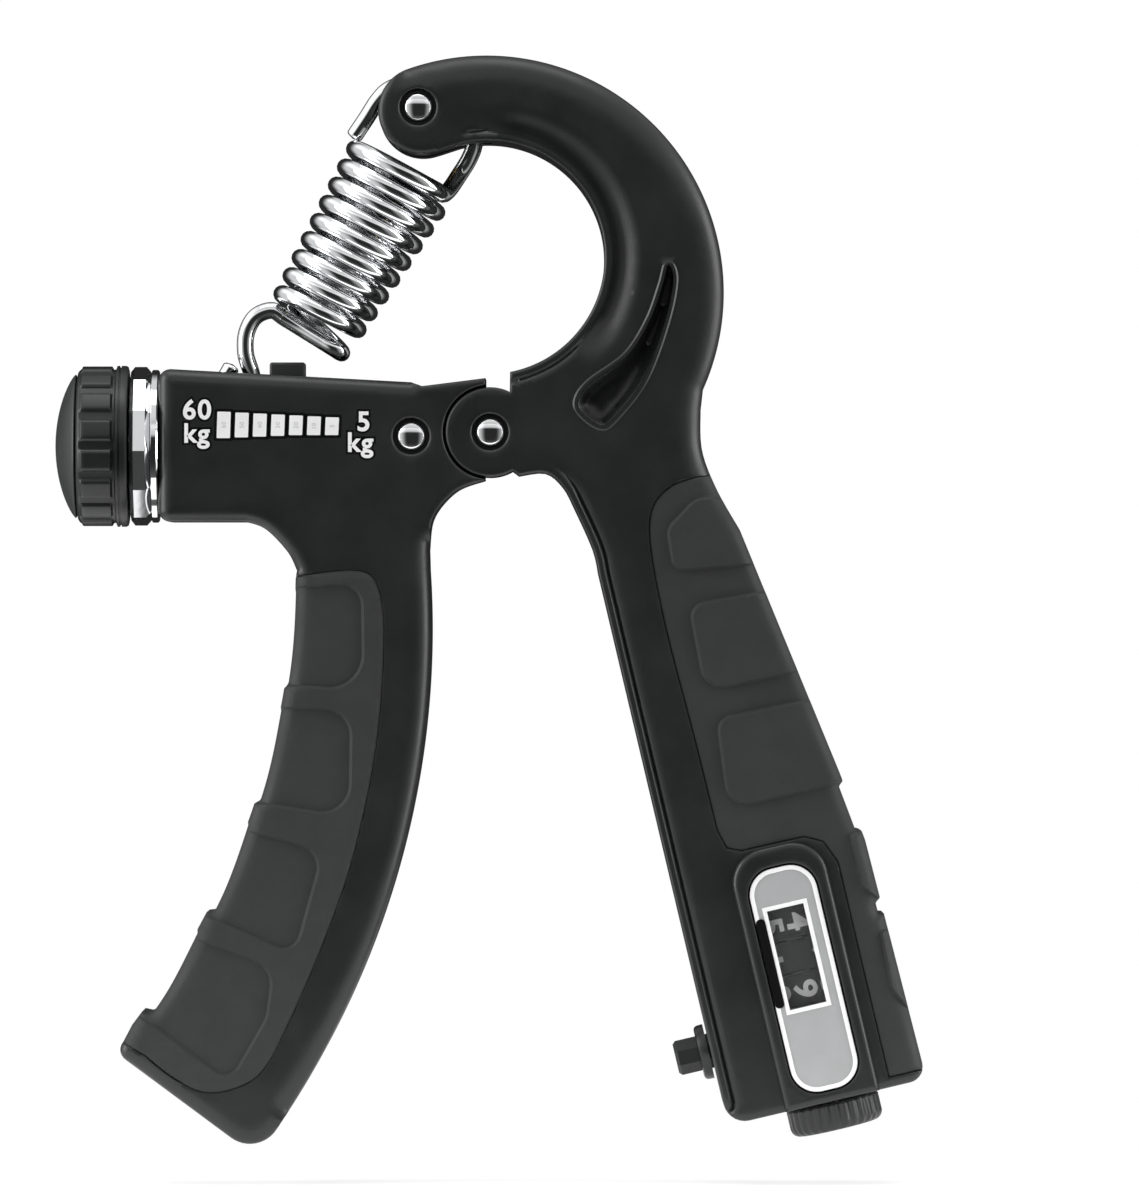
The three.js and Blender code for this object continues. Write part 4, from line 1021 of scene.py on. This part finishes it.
def cross_screw(at):
    """A pan-head screw with a cross recess, put in from the rear."""
    arm, slot_half, head = 1.25, 0.24, SCREW["head"]
    cross = dense(np.array(at) + [
        (arm, -slot_half), (arm, slot_half), (slot_half, slot_half), (slot_half, arm), (-slot_half, arm),
        (-slot_half, slot_half), (-arm, slot_half), (-arm, -slot_half), (-slot_half, -slot_half),
        (-slot_half, -arm), (slot_half, -arm), (slot_half, -slot_half)], step=0.3)
    edge = circle(at, head, 40)
    cells = Cells().follow(edge, [0, 0.1, 0.25, 0.5]).follow(cross, [-HAIR, HAIR, 0.12])

    def top(p):
        r = np.hypot(p[:, 0] - at[0], p[:, 1] - at[1])
        return SCREW["seat"] + 1.5 - 0.5 * (r / head) ** 2 - drop(head - r, 0.5, 0.4) - np.where(
            inside(p, cross), 0.85 * (1 - 0.35 * r / arm), 0)

    shape = relief(cells, lambda p: inside(p, edge), top, lambda p: np.full(len(p), SCREW["seat"]), True, 0.5)
    shank = turned([(0, SCREW["tip"]), (SCREW["shank"], SCREW["tip"] + 1.5), (SCREW["shank"], SCREW["seat"]),
                    (0, SCREW["seat"])], "y", (at[0], 0, at[1]), 16)
    return merge(shape, shank)


for side, places in (("hook", HOOK_SCREW_PLACES), ("lever", LEVER_SCREWS)):
    for k, at in enumerate(places, 1):
        screw = f"{side}_screw"
        add_piece(f"{screw}_cross_{k}", cross_screw(at), "steel", f"{side}_handle", [f"{screw}_{k}"])

# ---------------------------------------------------------------- strength knob and collar
on_axis = (0, 0, barrel_axis)


def knob_ripple(angle, height, r):
    """Grip bars round the rim, along the ribbed band only."""
    turn = (angle * RIBS / (2 * math.pi)) % 1
    bar = ease((0.5 - np.abs(turn - 0.5)) / 0.11 - 1.0)
    along = ease((height + 60.5) / 0.4) * ease((-55.6 - height) / 0.3)
    return 0.5 * bar * along * (r > 11)


stations = [(11.35, h) for h in (-60.5, -60.35, -60.2, -60.1, -59.5, -58, -56.5, -56.0, -55.9, -55.75, -55.6)]
knob_profile = [
    (8.6, -61.0), (10.4, -61.0), (10.9, -60.9), (11.2, -60.7), *stations, (11.35, -55.3), (KNOB_R, -55.1),
    (KNOB_R, -54.75), (11.65, -54.7), (11.65, -54.5), (KNOB_R, -54.45), (KNOB_R, -53.8), (11.75, -53.5),
    (11.4, -53.4), (3.2, -53.4), (3.2, -57.0), (8.6, -57.0), (8.6, -61.0)]
add_piece("knob_ribbed_rim", turned(knob_profile, "x", on_axis, 16 * RIBS, knob_ripple),
          "black_plastic", "strength_knob", ["knob_rim"], crease=38)
dome = [(10.6 * t, -61.3 - 3.0 * (1 - t * t) ** 0.8) for t in np.sin(np.linspace(0, math.pi / 2, 22))]
cap_profile = [*dome, (10.5, -61.15), (8.3, -61.1), (8.3, -58.4), (0, -58.4)]
add_piece("knob_domed_cap", turned(cap_profile, "x", on_axis, 96), "cap", "strength_knob", ["knob_cap"],
          "black_plastic")

FACETS = 12


def faceted(profile, sides, phase, at=on_axis):
    """A profile turned round the x axis with flat sides; phase is its first edge's angle in degrees."""
    prof = np.array(profile, float)
    angle = np.radians(phase) + np.arange(sides) * 2 * math.pi / sides
    u, v = prof[:, :1] * np.cos(angle), prof[:, :1] * np.sin(angle)
    h = np.repeat(prof[:, 1:], sides, axis=1)
    return np.stack((h, u, v), axis=-1).reshape(-1, 3) + at, ring_faces(len(prof), sides)


collar_profile = [(2.15, -53.1), (11.0, -53.1), (11.75, -52.5), (11.75, -50.75), (11.0, -50.1), (2.15, -50.1),
                  (2.15, -53.1)]
add_piece("collar_faceted", faceted(collar_profile, FACETS, 4), "chrome", "lever_handle", ["collar_ring"],
          crease=5)
washer_profile = [(2.15, -50.0), (11.1, -50.0), (11.3, -49.85), (11.3, -49.1), (11.1, -48.9),
                  (2.15, -48.9), (2.15, -50.0)]
add_piece("collar_flange", turned(washer_profile, "x", on_axis, 96), "chrome", "lever_handle",
          ["thrust_washer"])


# ---------------------------------------------------------------- carriage and pointer
def block(x0, x1, y0, y1, z0, z1, bevel=0.35):
    """A box with rounded edges."""
    bm = bmesh.new()
    bmesh.ops.create_cube(bm, size=1)
    bmesh.ops.scale(bm, vec=(x1 - x0, y1 - y0, z1 - z0), verts=bm.verts)
    bmesh.ops.translate(bm, vec=((x0 + x1) / 2, (y0 + y1) / 2, (z0 + z1) / 2), verts=bm.verts)
    bmesh.ops.bevel(bm, geom=bm.edges, offset=bevel, segments=3, profile=0.5, affect="EDGES")
    bm.verts.index_update()
    shape = np.array([v.co[:] for v in bm.verts]), [[v.index for v in f.verts] for f in bm.faces]
    bm.free()
    return shape


left, right, top, half = (POINTER[k] for k in ("left", "right", "top", "half"))
fork_left, fork_right = HOOK_PIN[0] - 3.1, left + 0.5
carriage = merge(
    block(left - 0.8, right, -5.5, 5.5, barrel_axis - 5.0, 1.8),
    block(left, right, -half, half, 1.0, top, 0.4),
    *[block(fork_left, fork_right, y, y + 3.4, 0.4, 6.1, 0.5) for y in (2.1, -5.5)])
add_piece("carriage_pointer", carriage, "black_plastic", "hook_carriage", ["carriage"])


# ---------------------------------------------------------------- extension spring
def coil_point(turn):
    share = turn / COIL["turns"]
    r = COIL["r"][0] + (COIL["r"][1] - COIL["r"][0]) * share
    side = COIL["side"][0] + (COIL["side"][1] - COIL["side"][0]) * share
    a = 2 * math.pi * turn
    down = COIL["pitch"] * turn + FOOT_DROP * ease((turn - COIL["turns"] + 0.45) / 0.45)
    return spring_point(side - r * math.cos(a), COIL["top"] - down, -r * math.sin(a))


turns = COIL["turns"]
foot = COIL["top"] - COIL["pitch"] * turns - FOOT_DROP
half_loop = [(LOOP["side"] + LOOP["across"] * math.cos(a), LOOP["along"] + LOOP["rise"] * math.sin(a))
             for a in np.radians(np.arange(0, 181, 20))]
loop_points = [spring_point(s, t) for s, t in [(6, -8.2), (5.9, -5), *half_loop, (-10.2, -4.8)]]
coil_turns = np.arange(0.06, turns - 0.05, 0.05)
foot_line = [(-9.3, -0.9), (-8.0, -1.6), (-6.0, -1.2), (-2, -0.2), (0.4, 0), (0.9, 0)]
foot_points = [spring_point(s, foot, y) for s, y in foot_line]
wire_path = through([*loop_points, *[coil_point(t) for t in coil_turns], *foot_points])
along_coil = np.array([(p - spring_point(0, 0)) @ [spring_up[0], 0, spring_up[1]] for p in wire_path])
coil_end = COIL["top"] - COIL["pitch"] * turns
wire_share = np.clip((COIL["top"] - along_coil) / (COIL["top"] - coil_end), 0, 1)


def stretch(piece, path, share):
    """Bakes a wire's placement into its mesh and finds each corner's share from the nearest point of its
    path; the shares are not put to use.
    """
    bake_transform(piece)
    tree = kdtree.KDTree(len(path))
    for i, p in enumerate(path):
        tree.insert((p + PIVOT) * MM, i)
    tree.balance()
    weights = [share[tree.find(v.co)[1]] for v in piece.data.vertices]


coil = add_piece("spring_wire", tube(wire_path, WIRE_R), "chrome", None, ["spring_upper", "spring_lower"])
stretch(coil, wire_path, wire_share)
pin_x = HOOK_PIN[0]
bend = PIN_R + WIRE_R + 0.1
hook_points = [spring_point(-0.2, foot), spring_point(0.75, foot), spring_point(2.6, foot), (-34.6, 0, 17.3),
               (-36.0, 0, 15.0), (-36.2, 0, 11.8), (pin_x + bend, 0, 8.2)]
hook_points += [(x, 0, z) for x, z in arc(HOOK_PIN, bend, 0, -180, 6)]
hook_path = through([*hook_points, (pin_x - bend + 0.5, 0, 6.8), (pin_x - 0.6, 0, 9.6)])
hook_share = ease(np.linspace(0, 1, len(hook_path)) / 0.35)
hook_wire = add_piece("spring_hook_wire", tube(hook_path, WIRE_R), "chrome", None, ["spring_hook"])
stretch(hook_wire, hook_path, hook_share)

# ---------------------------------------------------------------- counter
PLATE_TOP = 11.2


def counter_tablet(outline, hole, low, high, soft):
    """A flat ring or plate in the counter's frame, with softened edges."""
    cells = Cells().follow(outline, [0, soft / 3, soft])
    if hole is not None:
        cells.follow(hole, [0, -soft / 3, -soft])

    def domain(p):
        return inside(p, outline) & (True if hole is None else ~inside(p, hole))

    def face(p):
        edge = distance(p, outline) if hole is None else np.minimum(distance(p, outline), distance(p, hole))
        return high - drop(edge, soft, soft * 0.6)

    return counter_placed(relief(cells, domain, face, lambda p: np.full(len(p), low), spacing=2.5))


strip = dense(rounded_box(-5.0, -3.62, -3.5, 9.9, 0.6))
# the rim round the faceplate and the trim round the window are the plate's bevels, coloured near white as a
# painted highlight of polished silver
for name, outline, hole, low, rise, soft, look, node in (
        ("faceplate_silver", face_outline(-0.62), window_outline(0.5), 10, -0.1, 0.06, "faceplate",
         ["counter_faceplate"]),
        ("faceplate_rim", face_outline(0), face_outline(-0.66), 10, 0.05, 0.15, "painted_highlight_rim", ()),
        ("window_trim", window_outline(0.62), window_outline(0), 10, 0.02, 0.12, "painted_highlight_rim", ()),
        ("faceplate_band", strip, None, 10.5, 0.1, 0.1, "ink", ())):
    tablet_shape = counter_tablet(outline, hole, low, PLATE_TOP + rise, soft)
    add_piece(name, tablet_shape, look, "hook_handle", node, "faceplate")


def wheel_figures(height, first, blank=None):
    """Ten figures round a wheel, their tops towards +x at the window; first is the one shown."""
    shapes = []
    for k in range(10):
        figure = (math.floor(first) + k) % 10
        if figure == blank:
            continue
        verts, faces = lettering(str(figure), (0, 0), 3.3, 0.13, 0.0, 1.0)
        bm = bmesh.new()
        for v in verts:
            bm.verts.new(v)
        bm.verts.ensure_lookup_table()
        for f in faces:
            bm.faces.new([bm.verts[i] for i in f])
        bmesh.ops.triangulate(bm, faces=bm.faces)
        for _ in range(3):
            long = [e for e in bm.edges if e.calc_length() > 0.7]
            if long:
                bmesh.ops.subdivide_edges(bm, edges=long, cuts=1)
                bmesh.ops.triangulate(bm, faces=bm.faces)
        bm.verts.index_update()
        co = np.array([v.co[:] for v in bm.verts])
        tris = [[v.index for v in f.verts] for f in bm.faces]
        bm.free()
        r = WHEEL["r"] + np.where(co[:, 1] < -0.5, 0.04, -0.05)
        a = co[:, 2] / WHEEL["r"] - 2 * math.pi * (k - first % 1) / 10
        on_wheel = np.column_stack([r * np.sin(a), WHEEL["y"] - r * np.cos(a), height - co[:, 0] * 1.12])
        shapes.append((on_wheel, tris))
    return counter_placed(merge(*shapes))


for i, (name, first, blank) in enumerate((("hundreds", 4.3, None), ("tens", 0, 0), ("units", 9, None))):
    high = WHEEL["top"] - i * WHEEL["pitch"] - 0.15
    low = high - WHEEL["width"]
    r = WHEEL["r"]
    profile = [(1.3, low), (r - 0.25, low), (r, low + 0.2), (r, high - 0.2), (r - 0.25, high), (1.3, high),
               (1.3, low)]
    drum = counter_placed(turned(profile, "z", (0, WHEEL["y"], 0), 72))
    add_piece(f"{name}_drum", drum, "wheel_black", name, [f"{name}_wheel"])
    figures = wheel_figures((low + high) / 2, first, blank)
    add_piece(f"{name}_figures", figures, "grey", name, slot="wheel_black")

rod, tip = PLUNGER["r"], PLUNGER["tip"]
rod_profile = [(0, tip), (rod - 0.45, tip), (rod, tip + 0.45), (rod, -13.1), (3.6, -13.1), (3.6, -12.2),
               (1.2, -12.2), (1.2, -9.7), (0, -9.7)]
add_piece("plunger_button", counter_placed(faceted(rod_profile, 8, 22.5, at=(0, 0, PLUNGER["z"]))),
          "black_plastic", "count_plunger", ["plunger"], crease=20)
guide_out, guide_in, bore = PLUNGER["collar"], PLUNGER["face"] - GAP, rod + 0.1
guide_profile = [(bore, guide_out), (3.5, guide_out), (3.85, guide_out + 0.15), (4.05, guide_out + 0.5),
                 (4.1, guide_in), (bore, guide_in), (bore, guide_out)]
add_piece("plunger_guide", counter_placed(turned(guide_profile, "x", (0, 0, PLUNGER["z"]), 64)),
          "black_plastic", "hook_handle", ["plunger_collar"])


def reset_ripple(angle, height, r):
    flute = 0.5 + 0.5 * np.cos(angle * 30)
    return -0.22 * flute * ((height < RESET["top"] - 0.4) & (r > RESET["r"] - 0.6))


r, low, high = RESET["r"], RESET["bottom"], RESET["top"]
reset_profile = [
    (0, low), (r - 1.6, low), (r - 0.9, low + 0.12), (r - 0.45, low + 0.4), (r - 0.15, low + 0.8),
    (r, low + 1.3), (r, high - 0.5), (r, high - 0.35), (r - 0.15, high), (1.25, high), (1.25, low + 1.5),
    (0, low + 1.5)]
add_piece("reset_wheel", counter_placed(turned(reset_profile, "z", (0, WHEEL["y"], 0), 240, reset_ripple)),
          "black_plastic", "reset", ["reset_knob"], crease=40)

# ---------------------------------------------------------------- stage, light and camera
FRAME_HEIGHT = 176.4  # height of the view at the object, mm
VIEW_CENTRE = (11.69, -24.7)
CAMERA_AWAY = 1800.0
camera_data = bpy.data.cameras.new("camera")
camera_data.sensor_width = 36
camera_data.lens = 36 * CAMERA_AWAY / FRAME_HEIGHT
camera = bpy.data.objects.new("camera", camera_data)
camera.location = Vector((VIEW_CENTRE[0] + PIVOT[0], -CAMERA_AWAY - HALF, VIEW_CENTRE[1] + PIVOT[2])) * MM
camera.rotation_euler = (math.pi / 2, 0, 0)
bpy.context.scene.collection.objects.link(camera)
bpy.context.scene.camera = camera
bpy.context.scene.view_settings.view_transform = "Standard"


def area_light(name, place, size, power):
    """A soft panel that faces the middle of the object; place and size in metres."""
    data = bpy.data.lights.new(name, "AREA")
    data.shape = "RECTANGLE"
    data.size, data.size_y = size
    data.energy = power
    lamp = bpy.data.objects.new(name, data)
    lamp.location = place
    aim = Vector(((VIEW_CENTRE[0] + PIVOT[0]) * MM, 0, (VIEW_CENTRE[1] + PIVOT[2]) * MM)) - Vector(place)
    lamp.rotation_euler = aim.to_track_quat("-Z", "Y").to_euler()
    bpy.context.scene.collection.objects.link(lamp)


area_light("left_panel", (-0.9, -0.25, 0.25), (0.5, 0.9), 6)
area_light("right_panel", (0.95, -0.2, 0.2), (0.5, 0.9), 6)
area_light("top_panel", (0.0, -0.2, 1.1), (0.9, 0.5), 3)

world = bpy.data.worlds.new("studio")
bpy.context.scene.world = world
world.use_nodes = True
nodes, links = world.node_tree.nodes, world.node_tree.links
nodes.clear()
output = nodes.new("ShaderNodeOutputWorld")
seen, lit = nodes.new("ShaderNodeBackground"), nodes.new("ShaderNodeBackground")
seen.inputs["Color"].default_value = (1, 1, 1, 1)
direction = nodes.new("ShaderNodeSeparateXYZ")
links.new(nodes.new("ShaderNodeTexCoord").outputs["Generated"], direction.inputs[0])


def ramp(value, low, high, amount):
    """From 0 where value is low to amount where it is high."""
    node = nodes.new("ShaderNodeMapRange")
    node.interpolation_type = "SMOOTHSTEP"
    for socket, number in (("From Min", low), ("From Max", high), ("To Min", 0), ("To Max", amount)):
        node.inputs[socket].default_value = number
    links.new(value, node.inputs["Value"])
    return node.outputs["Result"]


def combine(operation, a, b=None, number=0.0):
    node = nodes.new("ShaderNodeMath")
    node.operation = operation
    links.new(a, node.inputs[0])
    if b is None:
        node.inputs[1].default_value = number
    else:
        links.new(b, node.inputs[1])
    return node.outputs[0]


x, y, z = direction.outputs
total = ramp(x, -0.25, -0.8, 0.85)
for panel in (ramp(x, 0.35, 0.85, 0.5), ramp(z, 0.3, 0.75, 0.9), ramp(z, -0.4, -0.9, 0.12)):
    total = combine("ADD", total, panel)
above_lens = combine("ABSOLUTE", combine("SUBTRACT", z, number=0.4))
front_strip = combine("MULTIPLY", ramp(above_lens, 0.2, 0.08, 0.8), ramp(y, -0.3, -0.7, 1))
total = combine("MULTIPLY", combine("ADD", total, front_strip), ramp(y, 0.8, 0.4, 1))
links.new(combine("ADD", total, number=0.03), lit.inputs["Strength"])
rays = nodes.new("ShaderNodeLightPath")
mix = nodes.new("ShaderNodeMixShader")
links.new(rays.outputs["Is Camera Ray"], mix.inputs[0])
links.new(lit.outputs[0], mix.inputs[1])
links.new(seen.outputs[0], mix.inputs[2])
links.new(mix.outputs[0], output.inputs["Surface"])

floor_mesh = bpy.data.meshes.new("floor")
# the floor lies below the lowest point that the squeezed handle swings through
FLOOR_X, FLOOR_Y, FLOOR_Z = 0.17, 0.1, -0.0062
floor_mesh.from_pydata([(-FLOOR_X, -FLOOR_Y, FLOOR_Z), (FLOOR_X, -FLOOR_Y, FLOOR_Z),
                        (FLOOR_X, FLOOR_Y, FLOOR_Z), (-FLOOR_X, FLOOR_Y, FLOOR_Z)], [], [(0, 1, 2, 3)])
floor = bpy.data.objects.new("floor", floor_mesh)
bpy.context.scene.collection.objects.link(floor)
floor_mesh.materials.append(material("pale_floor", (0.9, 0.9, 0.9), 0.9, grain=(3, 0.05), patches=0.01,
                                      Emission_Color=(1, 1, 1, 1), Emission_Strength=0.45))

# ---------------------------------------------------------------- carried-over CAD nodes
BRASS = ("pivot_bush", "spring_bush", "screw_end_bush", "carriage_nut")
NYLON = ("pivot_washer", "transfer_pinion")
for name, node in frame["nodes"].items():
    if name in BRASS:
        look = LOOKS["brass"]
    elif name.startswith(NYLON):
        look = LOOKS["nylon"]
    elif name == "window_lens":
        look = LOOKS["lens"]
    else:
        look = LOOKS["steel"]
    node.data.materials.clear()
    node.data.materials.append(look)
